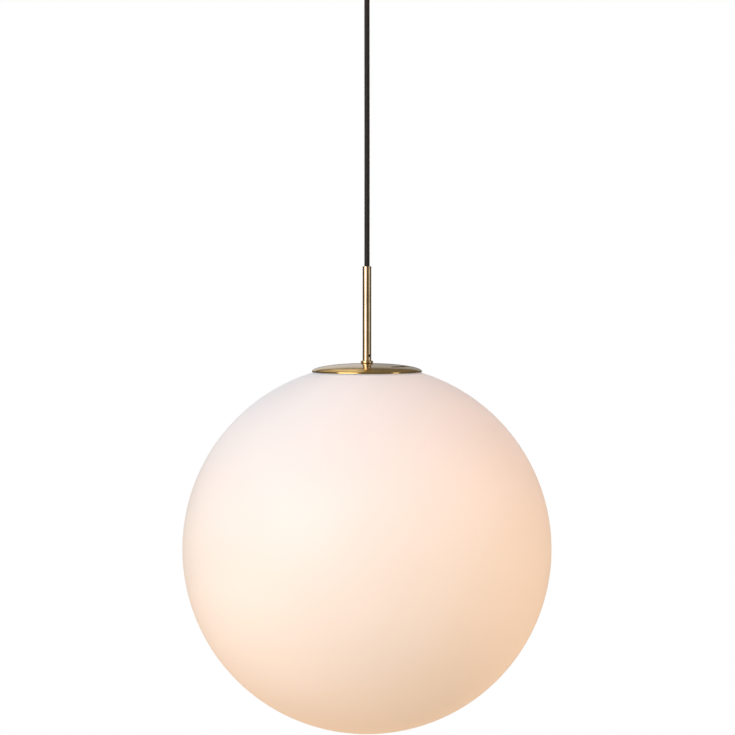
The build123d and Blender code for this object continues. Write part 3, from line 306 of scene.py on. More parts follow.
class Recipe:
    """A Geometry Nodes tree with named inputs, and short calls to write sums in it."""

    def __init__(self, name, **given):
        self.given = given
        self.tree = bpy.data.node_groups.new(name, "GeometryNodeTree")
        interface = self.tree.interface
        interface.new_socket("Geometry", in_out="INPUT", socket_type="NodeSocketGeometry")
        for label, value in given.items():
            kind = "NodeSocketInt" if isinstance(value, int) else "NodeSocketFloat"
            interface.new_socket(label, in_out="INPUT", socket_type=kind)
        interface.new_socket("Finish", in_out="INPUT", socket_type="NodeSocketMaterial")
        interface.new_socket("Geometry", in_out="OUTPUT", socket_type="NodeSocketGeometry")
        self.inputs = self.tree.nodes.new("NodeGroupInput").outputs

    def add(self, kind, mode=None, **joined):
        """Adds a node; what is joined is a socket of another node or a plain value."""
        node = self.tree.nodes.new(kind)
        if mode is not None:
            setattr(node, *mode)
        for label, source in joined.items():
            self.feed(node.inputs[label.replace("_", " ")], source)
        return node

    def feed(self, socket, source):
        if isinstance(source, bpy.types.NodeSocket):
            self.tree.links.new(source, socket)
        else:
            socket.default_value = source

    def sum(self, operation, *terms):
        """One step of arithmetic on sockets or numbers."""
        node = self.add("ShaderNodeMath", ("operation", operation))
        for socket, term in zip(node.inputs, terms):
            self.feed(socket, term)
        return node.outputs[0]

    def times(self, *terms):
        result = terms[0]
        for term in terms[1:]:
            result = self.sum("MULTIPLY", result, term)
        return result

    def plus(self, *terms):
        result = terms[0]
        for term in terms[1:]:
            result = self.sum("ADD", result, term)
        return result

    def minus(self, term, other):
        return self.sum("SUBTRACT", term, other)

    def vector(self, x, y, z):
        return self.add("ShaderNodeCombineXYZ", X=x, Y=y, Z=z).outputs[0]

    def polar(self, radius, angle, height):
        """A place round the Z axis."""
        x = self.times(radius, self.sum("COSINE", angle))
        return self.vector(x, self.times(radius, self.sum("SINE", angle)), height)

    def grid(self, along, around):
        """A flat sheet of points, and how far along and around it each point is, 0 to 1."""
        grid = self.add("GeometryNodeMeshGrid", Size_X=1.0, Size_Y=1.0)
        self.feed(grid.inputs["Vertices X"], along)
        self.feed(grid.inputs["Vertices Y"], around)
        centred = self.add("GeometryNodeInputPosition").outputs[0]
        place = self.add("ShaderNodeSeparateXYZ", Vector=centred).outputs
        return grid.outputs["Mesh"], self.plus(place["X"], 0.5), self.plus(place["Y"], 0.5)

    def copies(self, mesh, count):
        """Real copies of a mesh, and each copy's number, from 0."""
        row = self.add("GeometryNodeMeshLine", Count=count)
        numbered = self.add("GeometryNodeCaptureAttribute")
        numbered.capture_items.new("INT", "Number")
        self.feed(numbered.inputs["Geometry"], row.outputs["Mesh"])
        self.feed(numbered.inputs["Number"], self.add("GeometryNodeInputIndex").outputs[0])
        placed = self.scattered(numbered.outputs["Geometry"], mesh)
        real = self.add("GeometryNodeRealizeInstances", Geometry=placed)
        return real.outputs[0], numbered.outputs["Number"]

    def scattered(self, places, mesh, **turn):
        """An instance of a mesh on every point."""
        kind = "GeometryNodeInstanceOnPoints"
        return self.add(kind, Points=places, Instance=mesh, **turn).outputs["Instances"]

    def shaped(self, sheet, position):
        """The sheet's points moved to their places, with the seams joined."""
        moved = self.add("GeometryNodeSetPosition", Geometry=sheet, Position=position)
        merge = "GeometryNodeMergeByDistance"
        return self.add(merge, Geometry=moved.outputs[0], Distance=SEAM).outputs[0]

    def serve(self, shape):
        """Ends the tree with real geometry in its finish."""
        real = self.add("GeometryNodeRealizeInstances", Geometry=shape).outputs[0]
        finish = self.inputs["Finish"]
        dressed = self.add("GeometryNodeSetMaterial", Geometry=real, Material=finish)
        self.add("NodeGroupOutput", Geometry=dressed.outputs[0])

    def make(self, name, finish, base=None, **sizes):
        """Runs the tree with these sizes, on an empty mesh or a base, and keeps a plain mesh."""
        holder = linked(name, base or bpy.data.meshes.new(name))
        modifier = holder.modifiers.new(name, "NODES")
        modifier.node_group = self.tree
        values = {**self.given, **sizes, "Finish": finish.material}
        for item in self.tree.interface.items_tree:
            if item.in_out == "INPUT" and item.name in values:
                modifier[item.identifier] = values[item.name]
        return made(holder, name)


def made(piece, name):
    """Applies a piece's modifiers and keeps the plain mesh."""
    ready = piece.evaluated_get(bpy.context.evaluated_depsgraph_get())
    mesh = bpy.data.meshes.new_from_object(ready)
    bpy.data.objects.remove(piece)
    return mesh_object(name, mesh)


def mesh_object(name, mesh):
    """Links a mesh as an object at the origin, with its faces pointing outwards."""
    shape = bmesh.new()
    shape.from_mesh(mesh)
    loose = [corner for corner in shape.verts if not corner.link_faces]
    bmesh.ops.delete(shape, geom=loose, context="VERTS")
    bmesh.ops.recalc_face_normals(shape, faces=shape.faces)
    shape.to_mesh(mesh)
    shape.free()
    return linked(name, mesh)


def braid_recipe():
    """Yarns wound both ways round a route, each over one and under the next."""
    braid = Recipe(
        "braid", Radius=CORD_RADIUS, Turns=BRAID_TURNS, Lift=0.5 * YARN_THICKNESS,
        Width=YARN_WIDTH, Thickness=YARN_THICKNESS, Yarns=BRAID_YARNS, Steps=1000,
    )
    size = braid.inputs
    sheet, along, around = braid.grid(size["Steps"], 4)
    yarns, number = braid.copies(sheet, size["Yarns"])
    way = braid.minus(1.0, braid.times(2.0, braid.sum("MODULO", number, 2.0)))
    pair = braid.sum("FLOOR", braid.times(number, 0.5))
    half_yarns = braid.times(size["Yarns"], 0.5)
    start = braid.sum("DIVIDE", braid.times(pair, 2 * pi), half_yarns)
    angle = braid.plus(start, braid.times(way, along, size["Turns"], 2 * pi))
    over = braid.times(way, braid.sum("COSINE", braid.times(half_yarns, angle)))
    section = braid.plus(braid.times(around, 2 * pi), pi / 2)
    across = braid.times(size["Width"], 0.5, braid.sum("COSINE", section))
    outward = braid.times(size["Thickness"], 0.5, braid.sum("SINE", section))
    radius = braid.plus(size["Radius"], braid.times(size["Lift"], over), outward)
    turned = braid.plus(angle, braid.sum("DIVIDE", braid.times(across, sqrt(0.5)), size["Radius"]))
    factor = ("mode", "FACTOR")
    route = braid.add("GeometryNodeSampleCurve", factor, Curves=size["Geometry"], Factor=along)
    offset = braid.polar(radius, turned, braid.times(across, way, sqrt(0.5)))
    place = braid.add("ShaderNodeVectorMath", ("operation", "ADD"))
    braid.feed(place.inputs[0], route.outputs["Position"])
    braid.feed(place.inputs[1], offset)
    braid.serve(braid.shaped(yarns, place.outputs[0]))
    return braid


braid = braid_recipe()


def braided(name, jacket, turns):
    """The yarns round a jacket."""
    line = jacket.data.copy()
    line.bevel_depth = 0
    steps = int(turns * BRAID_YARNS) * BRAID_STEPS + 1
    yarns = braid.make(name, textile, line, Radius=BRAID_RADIUS, Turns=turns, Steps=steps)
    yarns.data.shade_smooth()
    return yarns


cord_braid = braided("cord_braid", cord, BRAID_TURNS)
dress(cord_braid, textile, "pendant", "textile")

# ---------------------------------------------------------------- ceiling bracket
# A strap of zinc-plated sheet steel with both ends bent down. Two slots take the
# ceiling screws, the middle hole the mains cable, and a screw holds the earth wire.

BRACKET_EDGE = 0.00025
FINE_EDGE = 0.00012


def smooth(piece, sharp=30.0):
    """Smooth shading, with edges sharper than an angle left crisp."""
    piece.data.shade_smooth()
    piece.data.set_sharp_from_angle(angle=radians(sharp))


def from_solid(node, name, edge=0.0, sharp=30.0):
    """The working solid itself, with its faces joined and its edges broken."""
    shape = bmesh.new()
    shape.from_mesh(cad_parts[node].data)
    bmesh.ops.remove_doubles(shape, verts=shape.verts, dist=SEAM)
    bmesh.ops.dissolve_limit(
        shape, angle_limit=radians(0.5), verts=shape.verts, edges=shape.edges,
        delimit={"NORMAL"},
    )
    piece = mesh_object(name, plain_mesh(name, shape))
    if edge:
        bevel = piece.modifiers.new("edges", "BEVEL")
        bevel.width = edge
        bevel.segments = 2
        bevel.limit_method = "ANGLE"
        bevel.angle_limit = radians(sharp)
        piece = made(piece, name)
    smooth(piece, sharp)
    return piece


def show_solid(node, name, edge, finish, body, slot):
    """The working solid as a finished piece."""
    dress(from_solid(node, name, edge), finish, body, slot, node)


zinc = Finish("zinc_plate", (0.60, 0.61, 0.62), Metallic=1.0, roughness=0.38)
spangle = zinc.noise(zinc.places(), 420.0, detail=4.0, roughness=0.6)
zinc.shades(spangle, (0.3, (0.50, 0.51, 0.53)), (0.7, (0.68, 0.69, 0.70)))
zinc.gloss(spangle, 0.30, 0.50)
zinc_rolling = zinc.noise(zinc.places((1, 0.04, 1)), 4000.0, detail=2.0)
zinc.relief(zinc_rolling, 0.00001)
show_solid("ceiling_bracket", "bracket_strap", BRACKET_EDGE, zinc, "bracket", "steel")

screw_steel = worn(
    "screw_steel", (0.52, 0.52, 0.53), 0.28, 2600.0, gloss=(0.22, 0.40), relief=0.000008,
    shades=((0.3, (0.42, 0.42, 0.44)), (0.7, (0.62, 0.62, 0.63))), Metallic=1.0,
)
for screw_part in ("earth_screw", "earth_washer"):
    show_solid(screw_part, "bracket_" + screw_part, FINE_EDGE, screw_steel, "bracket", "steel")

# -------------------------------------------------------------------- side screws
# Two brass thumb screws, turned from bar with a diamond-knurled head. They go
# through the canopy's side into the tapped ends of the bracket.

SIDE_HEAD_LENGTH = 0.005
SIDE_HEAD_EDGE = 0.0005
KNURL_DEPTH = 0.00032
KNURL_STARTS = 26.0
KNURL_TURNS = 4.0
SIDE_SHANK_RADIUS = 0.0020
SIDE_PITCH = 0.0007
BRASS = (0.64, 0.46, 0.18)
POLISHED_BRASS = (0.78, 0.62, 0.38)


def grooved_recipe():
    """A round bar or tube with grooves: one start is a screw thread, many are a knurl."""
    bar = Recipe(
        "grooved_bar", Radius=0.005, Bore=0.0, Wall=1.0, Foot=0.0, Top=0.01, Depth=0.0003,
        Starts=1.0, Turns=10.0, Cross=0.0, Sharpness=1.0, Shoulder=0.0003, Steps=101,
        Segments=48,
    )
    size = bar.inputs
    sheet, along, around = bar.grid(size["Steps"], size["Segments"])
    climb = bar.minus(1.0, bar.sum("ABSOLUTE", bar.minus(bar.times(2.0, along), 1.0)))
    length = bar.minus(size["Top"], size["Foot"])
    height = bar.plus(size["Foot"], bar.times(climb, length))
    angle = bar.times(around, 2 * pi)
    lead = bar.times(climb, size["Turns"], 2 * pi)
    starts = bar.times(angle, size["Starts"])
    first_wave, second_wave = (
        bar.plus(0.5, bar.times(0.5, bar.sum("COSINE", phase)))
        for phase in (bar.minus(starts, lead), bar.plus(starts, lead))
    )
    first_groove = bar.sum("POWER", first_wave, size["Sharpness"])
    second_groove = bar.times(size["Cross"], bar.sum("POWER", second_wave, size["Sharpness"]))
    groove = bar.sum("MAXIMUM", first_groove, second_groove)
    to_end = bar.times(length, bar.sum("MINIMUM", climb, bar.minus(1.0, climb)))
    near_end = bar.minus(1.0, bar.sum("DIVIDE", to_end, size["Shoulder"]))
    near_end = bar.sum("MAXIMUM", 0.0, near_end)
    flat_part = bar.sum("SQRT", bar.minus(1.0, bar.times(near_end, near_end)))
    drop = bar.times(size["Shoulder"], bar.minus(1.0, flat_part))
    cut_depth = bar.times(size["Depth"], groove, bar.minus(1.0, near_end))
    outer = bar.minus(bar.minus(size["Radius"], cut_depth), drop)
    inner = bar.sum("MAXIMUM", size["Bore"], bar.minus(outer, size["Wall"]))
    outside = bar.times(bar.sum("GREATER_THAN", along, 0.0001), bar.sum("LESS_THAN", along, 0.4999))
    radius = bar.plus(inner, bar.times(outside, bar.minus(outer, inner)))
    bar.serve(bar.shaped(sheet, bar.polar(radius, angle, height)))
    return bar


def joined(name, *pieces):
    """One piece from several."""
    shape = bmesh.new()
    for piece in pieces:
        shape.from_mesh(piece.data)
        bpy.data.objects.remove(piece)
    return linked(name, plain_mesh(name, shape))


def laid(piece, foot, direction):
    """Turns a piece made along +Z to a direction, and moves it to its foot."""
    turn = Vector(direction).to_track_quat("Z", "Y").to_matrix().to_4x4()
    piece.data.transform(Matrix.Translation(foot) @ turn)
    return piece


def brushed_brass(name, colour, smooth_at, rough_at, depth, fine):
    """Brass with the fine rings that a lathe's tool or brush leaves round the Z axis."""
    brass = Finish(name, colour, Metallic=1.0, roughness=(smooth_at + rough_at) / 2)
    parts = brass.parts()
    flat = brass.add("ShaderNodeCombineXYZ")
    brass.join(parts["X"], flat, "X")
    brass.join(parts["Y"], flat, "Y")
    reach = brass.add("ShaderNodeVectorMath")
    reach.operation = "LENGTH"
    brass.join(flat, reach, 0)
    ring_place = brass.add("ShaderNodeCombineXYZ")
    brass.join(reach.outputs["Value"], ring_place, "X")
    brass.join(parts["Z"], ring_place, "Z")
    rings = brass.noise(ring_place, fine, detail=2.0, roughness=0.7)
    bands = brass.noise(ring_place, fine / 12, detail=2.0)
    patches = brass.noise(brass.places(), 35.0, detail=3.0)
    dark = tuple(0.88 * part for part in colour)
    light = tuple(min(1.0, 1.08 * part) for part in colour)
    brass.shades(patches, (0.35, dark), (0.65, light))
    brass.gloss(bands, smooth_at, rough_at)
    brass.relief(rings, depth)
    return brass


def plain_brass(name, colour, smooth_at, rough_at):
    """Brass with a faint cloudiness and no tool marks."""
    dark = tuple(0.86 * part for part in colour)
    return worn(
        name, colour, (smooth_at + rough_at) / 2, 160.0, 4.0, Metallic=1.0,
        shades=((0.3, dark), (0.7, colour)), gloss=(smooth_at, rough_at),
    )


grooved = grooved_recipe()
turned_brass = plain_brass("turned_brass", POLISHED_BRASS, 0.16, 0.26)
for side_name, side in (("left", -1), ("right", 1)):
    screw_node = "canopy_screw_" + side_name
    screw_low, screw_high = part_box(screw_node)
    screw_middle = (screw_low + screw_high) / 2
    head_radius = (screw_high.z - screw_low.z) / 2
    shank_length = screw_high.x - screw_low.x - SIDE_HEAD_LENGTH
    tip = screw_low.x if side == 1 else screw_high.x
    shank = grooved.make(
        screw_node + "_shank", turned_brass, Radius=SIDE_SHANK_RADIUS,
        Top=shank_length + 0.001, Depth=0.55 * SIDE_PITCH, Turns=shank_length / SIDE_PITCH,
        Steps=221, Segments=32,
    )
    knurled_head = grooved.make(
        screw_node + "_head", turned_brass, Radius=head_radius, Foot=shank_length,
        Top=shank_length + SIDE_HEAD_LENGTH, Depth=KNURL_DEPTH, Starts=KNURL_STARTS,
        Turns=KNURL_TURNS, Cross=1.0, Sharpness=3.0, Shoulder=SIDE_HEAD_EDGE, Steps=61,
        Segments=209,
    )
    thumb_screw = laid(
        joined(screw_node + "_turned", shank, knurled_head),
        (tip, screw_middle.y, screw_middle.z), (side, 0, 0),
    )
    smooth(thumb_screw, 50.0)
    dress(thumb_screw, turned_brass, side_name + "_screw", "brass", screw_node)

# ------------------------------------------------------------------------- canopy
# A round cup spun from sheet brass, brushed on the lathe. Two notches in its rim
# let it slide up over the side screws, and the cord grip goes through its floor.

CANOPY_WALL = 0.001
CANOPY_ROUND = 0.007
CANOPY_SEGMENTS = 160
NOTCH_RADIUS = 0.0023
ROUND_STEPS = 6


def on_circle(radius, azimuth, centre=(0, 0)):
    """A point on a circle, at an angle in degrees."""
    angle = radians(azimuth)
    return centre[0] + radius * cos(angle), centre[1] + radius * sin(angle)


def arc(centre, radius, first, last, steps):
    """Points on an arc, as (distance from the axis, height), angles in degrees."""
    return [
        on_circle(radius, first + (last - first) * step / steps, centre)
        for step in range(steps + 1)
    ]


def lathe(name, outline, segments=96, sharp=30.0):
    """A solid turned about Z from a closed outline of (distance from the axis, height)."""
    shape = bmesh.new()
    rings = []
    for radius, height in outline:
        if radius < 1e-7:
            rings.append([shape.verts.new((0, 0, height))] * segments)
            continue
        angles = [2 * pi * step / segments for step in range(segments)]
        circle = [(radius * cos(a), radius * sin(a), height) for a in angles]
        rings.append([shape.verts.new(place) for place in circle])
    for ring, following in zip(rings, rings[1:] + rings[:1]):
        if ring[0] is ring[1] and following[0] is following[1]:
            continue
        for step in range(segments):
            ahead = (step + 1) % segments
            corners = (ring[step], ring[ahead], following[ahead], following[step])
            shape.faces.new(list(dict.fromkeys(corners)))
    piece = mesh_object(name, plain_mesh(name, shape))
    smooth(piece, sharp)
    return piece


def ring_outline(bore, radius, foot, top, foot_round=0.0002, top_round=0.0002):
    """Outline of a bush or a disc whose outer edges are rounded."""
    return (
        [(bore, foot)]
        + arc((radius - foot_round, foot + foot_round), foot_round, -90, 0, ROUND_STEPS)
        + arc((radius - top_round, top - top_round), top_round, 0, 90, ROUND_STEPS)
        + [(bore, top)]
    )


def extent(node):
    """Outer radius, foot and top of a turned node."""
    low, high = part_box(node)
    return (high.y - low.y) / 2, low.z, high.z


def prism(name, outline, foot, top):
    """A straight block over a flat outline of (x, y) points."""
    shape = bmesh.new()
    lower = [shape.verts.new((x, y, foot)) for x, y in outline]
    upper = [shape.verts.new((x, y, top)) for x, y in outline]
    shape.faces.new(lower[::-1])
    shape.faces.new(upper)
    for step in range(len(outline)):
        ahead = (step + 1) % len(outline)
        shape.faces.new((lower[step], lower[ahead], upper[ahead], upper[step]))
    return mesh_object(name, plain_mesh(name, shape))


def cut(piece, cutter, name, keep="DIFFERENCE"):
    """Takes a cutter out of a piece, or keeps only what both hold."""
    modifier = piece.modifiers.new("cut", "BOOLEAN")
    modifier.operation = keep
    modifier.solver = "EXACT"
    modifier.object = cutter
    piece = made(piece, name)
    bpy.data.objects.remove(cutter)
    return piece


canopy_low, canopy_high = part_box("canopy")
CANOPY_RADIUS = (canopy_high.y - canopy_low.y) / 2
grip_low, grip_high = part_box("cord_grip_body")
GRIP_THREAD_RADIUS = 0.0050
canopy_corner = (CANOPY_RADIUS - CANOPY_ROUND, canopy_low.z + CANOPY_ROUND)
canopy_outline = (
    [(GRIP_THREAD_RADIUS, canopy_low.z)]
    + arc(canopy_corner, CANOPY_ROUND, -90, 0, 2 * ROUND_STEPS)
    + arc((CANOPY_RADIUS - 0.0003, canopy_high.z - 0.0003), 0.0003, 0, 90, 3)
    + [(CANOPY_RADIUS - CANOPY_WALL, canopy_high.z)]
    + arc(canopy_corner, CANOPY_ROUND - CANOPY_WALL, 0, -90, 2 * ROUND_STEPS)
    + [(GRIP_THREAD_RADIUS, canopy_low.z + CANOPY_WALL)]
)
canopy = lathe("canopy_cup", canopy_outline, CANOPY_SEGMENTS)
notch_outline = arc((0, screw_middle.z), NOTCH_RADIUS, -180, 0, 2 * ROUND_STEPS) + [
    (NOTCH_RADIUS, 0.01), (-NOTCH_RADIUS, 0.01)
]
notches = prism("notches", notch_outline, -2 * CANOPY_RADIUS, 2 * CANOPY_RADIUS)
notches.data.transform(Matrix(((0, 0, 1, 0), (1, 0, 0, 0), (0, 1, 0, 0), (0, 0, 0, 1))))
canopy = cut(canopy, notches, "canopy_cup")
smooth(canopy)
cap_brass = brushed_brass("brushed_brass", BRASS, 0.14, 0.20, depth=0.000001, fine=5200.0)
dress(canopy, cap_brass, "canopy", "brass", "canopy")

# ---------------------------------------------------------------------- cord grip
# A turned brass gland through the canopy's floor, held by a nut inside. A rubber
# ball in its mouth lets the cord swing, and a small grub screw pinches the cord.

GRIP_BORE_RADIUS = 0.00315
GRIP_ROUND = 0.0015
SOCKET_RADIUS = 0.0063
GRIP_PITCH = 0.001
NUT_EDGE = 0.0006

GRIP_RADIUS = (grip_high.y - grip_low.y) / 2
pivot_height = CORD_TOP
mouth_drop = grip_low.z - pivot_height
mouth_angle = atan2(mouth_drop, sqrt(SOCKET_RADIUS**2 - mouth_drop**2))
socket_top = atan2(sqrt(SOCKET_RADIUS**2 - GRIP_BORE_RADIUS**2), GRIP_BORE_RADIUS)
grip_outline = (
    arc((GRIP_RADIUS - GRIP_ROUND, grip_low.z + GRIP_ROUND), GRIP_ROUND, -90, 0, ROUND_STEPS)
    + arc((GRIP_RADIUS - 0.0004, canopy_low.z - 0.0005), 0.0004, 0, 90, 3)
    + [(GRIP_BORE_RADIUS, canopy_low.z - 0.0001)]
    + arc((0, pivot_height), SOCKET_RADIUS, socket_top * 180 / pi, mouth_angle * 180 / pi, 12)
)
grip_barrel = lathe("grip_barrel", grip_outline)
grip_thread = grooved.make(
    "grip_thread", turned_brass, Radius=GRIP_THREAD_RADIUS, Bore=GRIP_BORE_RADIUS,
    Foot=canopy_low.z - 0.0001, Top=grip_high.z, Depth=0.5 * GRIP_PITCH,
    Turns=(grip_high.z - canopy_low.z) / GRIP_PITCH, Steps=101,
)
grip_body = joined("grip_gland", grip_barrel, grip_thread)
smooth(grip_body, 40.0)
dress(grip_body, turned_brass, "canopy", "polished_brass", "cord_grip_body")


def hexagon_nut(node, name, bore):
    """A nut milled from hexagon bar, its corners turned off at both ends."""
    low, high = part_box(node)
    across_corners = (high.x - low.x) / 2
    corners = [pi * k / 3 for k in range(6)]
    shape = [(across_corners * cos(a), across_corners * sin(a)) for a in corners]
    bar = prism(name, shape, low.z, high.z)
    limit = across_corners + NUT_EDGE / 4
    blank = lathe("blank", ring_outline(bore, limit, low.z, high.z, NUT_EDGE, NUT_EDGE), 72)
    nut = cut(bar, blank, name, keep="INTERSECT")
    smooth(nut)
    return nut


machined_brass = plain_brass("machined_brass", (0.60, 0.44, 0.20), 0.26, 0.40)
nut = hexagon_nut("cord_grip_nut", "grip_nut", GRIP_THREAD_RADIUS)
dress(nut, machined_brass, "canopy", "contact_brass", "cord_grip_nut")
show_solid("cord_grip_screw", "grip_screw", 0.00008, screw_steel, "canopy", "steel")

soft_black = worn(
    "black_rubber", (0.022, 0.022, 0.022), 0.62, 700.0, 4.0, relief=0.00002,
    shades=((0.35, (0.016, 0.016, 0.016)), (0.75, (0.040, 0.039, 0.038))),
)
show_solid("flex_bush", "swivel_ball", 0.00010, soft_black, "cord_exit", "rubber")

# --------------------------------------------------- cord's upper end and its cores
# The cord ends just above the gland's nut. Its three insulated cores spread out to
# the terminal block: brown for live, blue for neutral, green and yellow for earth.

tail_low, tail_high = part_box("cord_tail")
tail_length = tail_high.z - tail_low.z
tail_points = [(0, 0, tail_low.z + tail_length * share) for share in (0, 0.35, 0.7, 1)]
tail_jacket = curve_object("tail_jacket", tail_points, CORD_RADIUS * JACKET_SHARE)
dress(tail_jacket, textile, "canopy", "textile", "cord_tail")
tail_turns = BRAID_TURNS * tail_length / (CORD_TOP - cord_low.z)
dress(braided("tail_braid", tail_jacket, tail_turns), textile, "canopy", "textile")


def insulation(name, dark, light):
    """Glossy coloured plastic round a copper strand."""
    return worn(
        name, light, 0.35, 900.0, stretch=(1, 1, 0.2), gloss=(0.28, 0.45), relief=0.00002,
        shades=((0.3, dark), (0.7, light)),
    )


brown_cover = insulation("brown_insulation", (0.055, 0.022, 0.010), (0.085, 0.034, 0.016))
blue_cover = insulation("blue_insulation", (0.020, 0.100, 0.300), (0.030, 0.150, 0.420))
earth_cover = insulation("earth_insulation", (0.060, 0.250, 0.050), (0.080, 0.300, 0.060))
stripe = earth_cover.add("ShaderNodeTexWave", Scale=260.0, Distortion=1.5)
stripe.bands_direction = "DIAGONAL"
earth_cover.join(earth_cover.places(), stripe, "Vector")
STRIPES = ((0.52, (0.070, 0.280, 0.055)), (0.60, (0.780, 0.620, 0.040)))
earth_cover.shades(stripe.outputs["Fac"], *STRIPES)
CORE_COVERS = (
    ("live", brown_cover, "brown_wire"),
    ("neutral", blue_cover, "blue_wire"),
    ("earth", earth_cover, "earth_wire"),
)


def show_cores(level, end, body):
    """The three cores at one end of the cord."""
    for core, cover, slot in CORE_COVERS:
        show_solid(f"{level}_core_{core}", f"core_to_{end}_{core}", 0.0, cover, body, slot)


show_cores("upper", "block", "canopy")

# ----------------------------------------------------------------- terminal block
# A block moulded in white nylon with three brass tubes in it. Two steel screws
# over each tube clamp the mains wire and the core of the cord.

nylon = worn(
    "white_nylon", (0.80, 0.79, 0.76), 0.5, 1500.0, gloss=(0.42, 0.58), relief=0.00002,
    shades=((0.35, (0.76, 0.75, 0.71)), (0.65, (0.83, 0.82, 0.79))),
    Subsurface_Weight=0.1, Subsurface_Radius=(0.002, 0.002, 0.0015), Subsurface_Scale=0.5,
)
show_solid("terminal_block", "nylon_block", 0.0005, nylon, "canopy", "white_plastic")
show_solid("terminal_tubes", "brass_tubes", 0.0001, machined_brass, "canopy", "contact_brass")


def slotted_screws_recipe():
    """A slotted screw head on every point of a mesh, each turned its own way."""
    screws = Recipe(
        "slotted_screws", Radius=0.0015, Height=0.002, Slot=0.0006, Cut=0.0008, Seed=7
    )
    size = screws.inputs
    blank = screws.add(
        "GeometryNodeMeshCylinder", Vertices=36, Radius=size["Radius"], Depth=size["Height"]
    )
    slot_length, slot_depth = screws.times(3.0, size["Radius"]), screws.times(2.0, size["Cut"])
    slot_size = screws.vector(slot_length, size["Slot"], slot_depth)
    bar = screws.add("GeometryNodeMeshCube", Size=slot_size)
    to_top = screws.vector(0.0, 0.0, screws.times(0.5, size["Height"]))
    block = bar.outputs["Mesh"]
    raised = screws.add("GeometryNodeTransform", Geometry=block, Translation=to_top)
    slotted = screws.add("GeometryNodeMeshBoolean", ("operation", "DIFFERENCE"))
    screws.feed(slotted.inputs["Mesh 1"], blank.outputs["Mesh"])
    screws.feed(slotted.inputs["Mesh 2"], raised.outputs["Geometry"])
    spin = screws.add("FunctionNodeRandomValue", ("data_type", "FLOAT"), Seed=size["Seed"])
    half_turn = screws.vector(0.0, 0.0, screws.times(spin.outputs[1], pi))
    placed = screws.scattered(size["Geometry"], slotted.outputs["Mesh"], Rotation=half_turn)
    screws.serve(placed)
    return screws


def points(name, places):
    """A mesh of single points."""
    mesh = bpy.data.meshes.new(name)
    mesh.from_pydata(places, [], [])
    return mesh


def put_screws(node, name, places, body, **sizes):
    """Slotted screws at the places, as one piece."""
    screws = slotted_screws.make(name, screw_steel, points(name + "_places", places), **sizes)
    smooth(screws)
    dress(screws, screw_steel, body, "steel", node)


slotted_screws = slotted_screws_recipe()
block_screws_low, block_screws_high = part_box("terminal_screws")
BLOCK_SCREW_RADIUS = 0.0015
BLOCK_PITCH = (block_screws_high.y - block_screws_low.y) / 2 - BLOCK_SCREW_RADIUS
block_screw_places = [
    (x, BLOCK_PITCH * row, (block_screws_low.z + block_screws_high.z) / 2)
    for x in (block_screws_low.x + BLOCK_SCREW_RADIUS, block_screws_high.x - BLOCK_SCREW_RADIUS)
    for row in (-1, 0, 1)
]
put_screws(
    "terminal_screws", "block_screws", block_screw_places, "canopy",
    Radius=BLOCK_SCREW_RADIUS, Height=block_screws_high.z - block_screws_low.z,
)

# --------------------------------------------------------------------------- stem
# Thin-walled brass tube, drawn and polished, its upper edge rounded. A plastic
# bush centres the cord in its top, and a grub screw near its foot holds it down.

STEM_WALL = 0.00065
STEM_TOP_ROUND = 0.0004
STEM_FOOT_ROUND = 0.0001
SET_SCREW_RADIUS = 0.00125
DRILL_PLAY = 0.00005
BUSH_PLAY = 0.0003
stem_low, stem_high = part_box("stem_tube")
STEM_RADIUS = (stem_high.x - stem_low.x) / 2
STEM_BORE = STEM_RADIUS - STEM_WALL
screw_low, screw_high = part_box("stem_set_screw")
set_screw_middle = (screw_low + screw_high) / 2
screw_out = Vector((set_screw_middle.x, set_screw_middle.y, 0)).normalized()
stem_outline = ring_outline(
    STEM_BORE, STEM_RADIUS, stem_low.z, stem_high.z, STEM_FOOT_ROUND, STEM_TOP_ROUND
)
stem = lathe("drawn_stem", stem_outline, 128)
drill_outline = arc((0, 0), SET_SCREW_RADIUS + DRILL_PLAY, 0, 345, 23)
drill = laid(prism("drill", drill_outline, 0, 0.02), (0, 0, set_screw_middle.z), screw_out)
stem = cut(stem, drill, "drawn_stem")
smooth(stem, 35.0)
DRAWN = {"smooth_at": 0.09, "rough_at": 0.12, "depth": 0.00000005, "fine": 3000.0}
drawn_brass = brushed_brass("drawn_brass", POLISHED_BRASS, **DRAWN)
dress(stem, drawn_brass, "stem", "polished_brass", "stem_tube")
blackened_steel = worn(
    "blackened_steel", (0.030, 0.028, 0.028), 0.4, 2500.0, gloss=(0.32, 0.5), relief=0.000005,
    shades=((0.3, (0.020, 0.019, 0.020)), (0.7, (0.045, 0.042, 0.040))), Metallic=1.0,
)
show_solid("stem_set_screw", "stem_grub_screw", 0.00006, blackened_steel, "stem", "steel")


def show_turned(node, name, bore, finish, body, slot, segments=96, **rounds):
    """A plain turned node with rounded outer edges, as a finished piece."""
    piece = lathe(name, ring_outline(bore, *extent(node), **rounds), segments)
    dress(piece, finish, body, slot, node)


black_plastic = worn(
    "black_plastic", (0.018, 0.018, 0.019), 0.42, 1200.0, gloss=(0.35, 0.50), relief=0.00002,
    shades=((0.3, (0.014, 0.014, 0.015)), (0.7, (0.028, 0.028, 0.029))),
)
show_turned(
    "stem_bush", "cord_bush", CORD_RADIUS + BUSH_PLAY, black_plastic, "stem",
    "black_plastic", 64, top_round=0.0003,
)

# ------------------------------------------- nipple, collar, distance sleeve, nuts
# A threaded brass tube runs from inside the stem down into the lampholder. On it
# sit the rounded collar, the cap, a sleeve, the spring carrier and two nuts.

NIPPLE_BORE = 0.0032
NIPPLE_PITCH = 0.001
COLLAR_ROUND = 0.0012

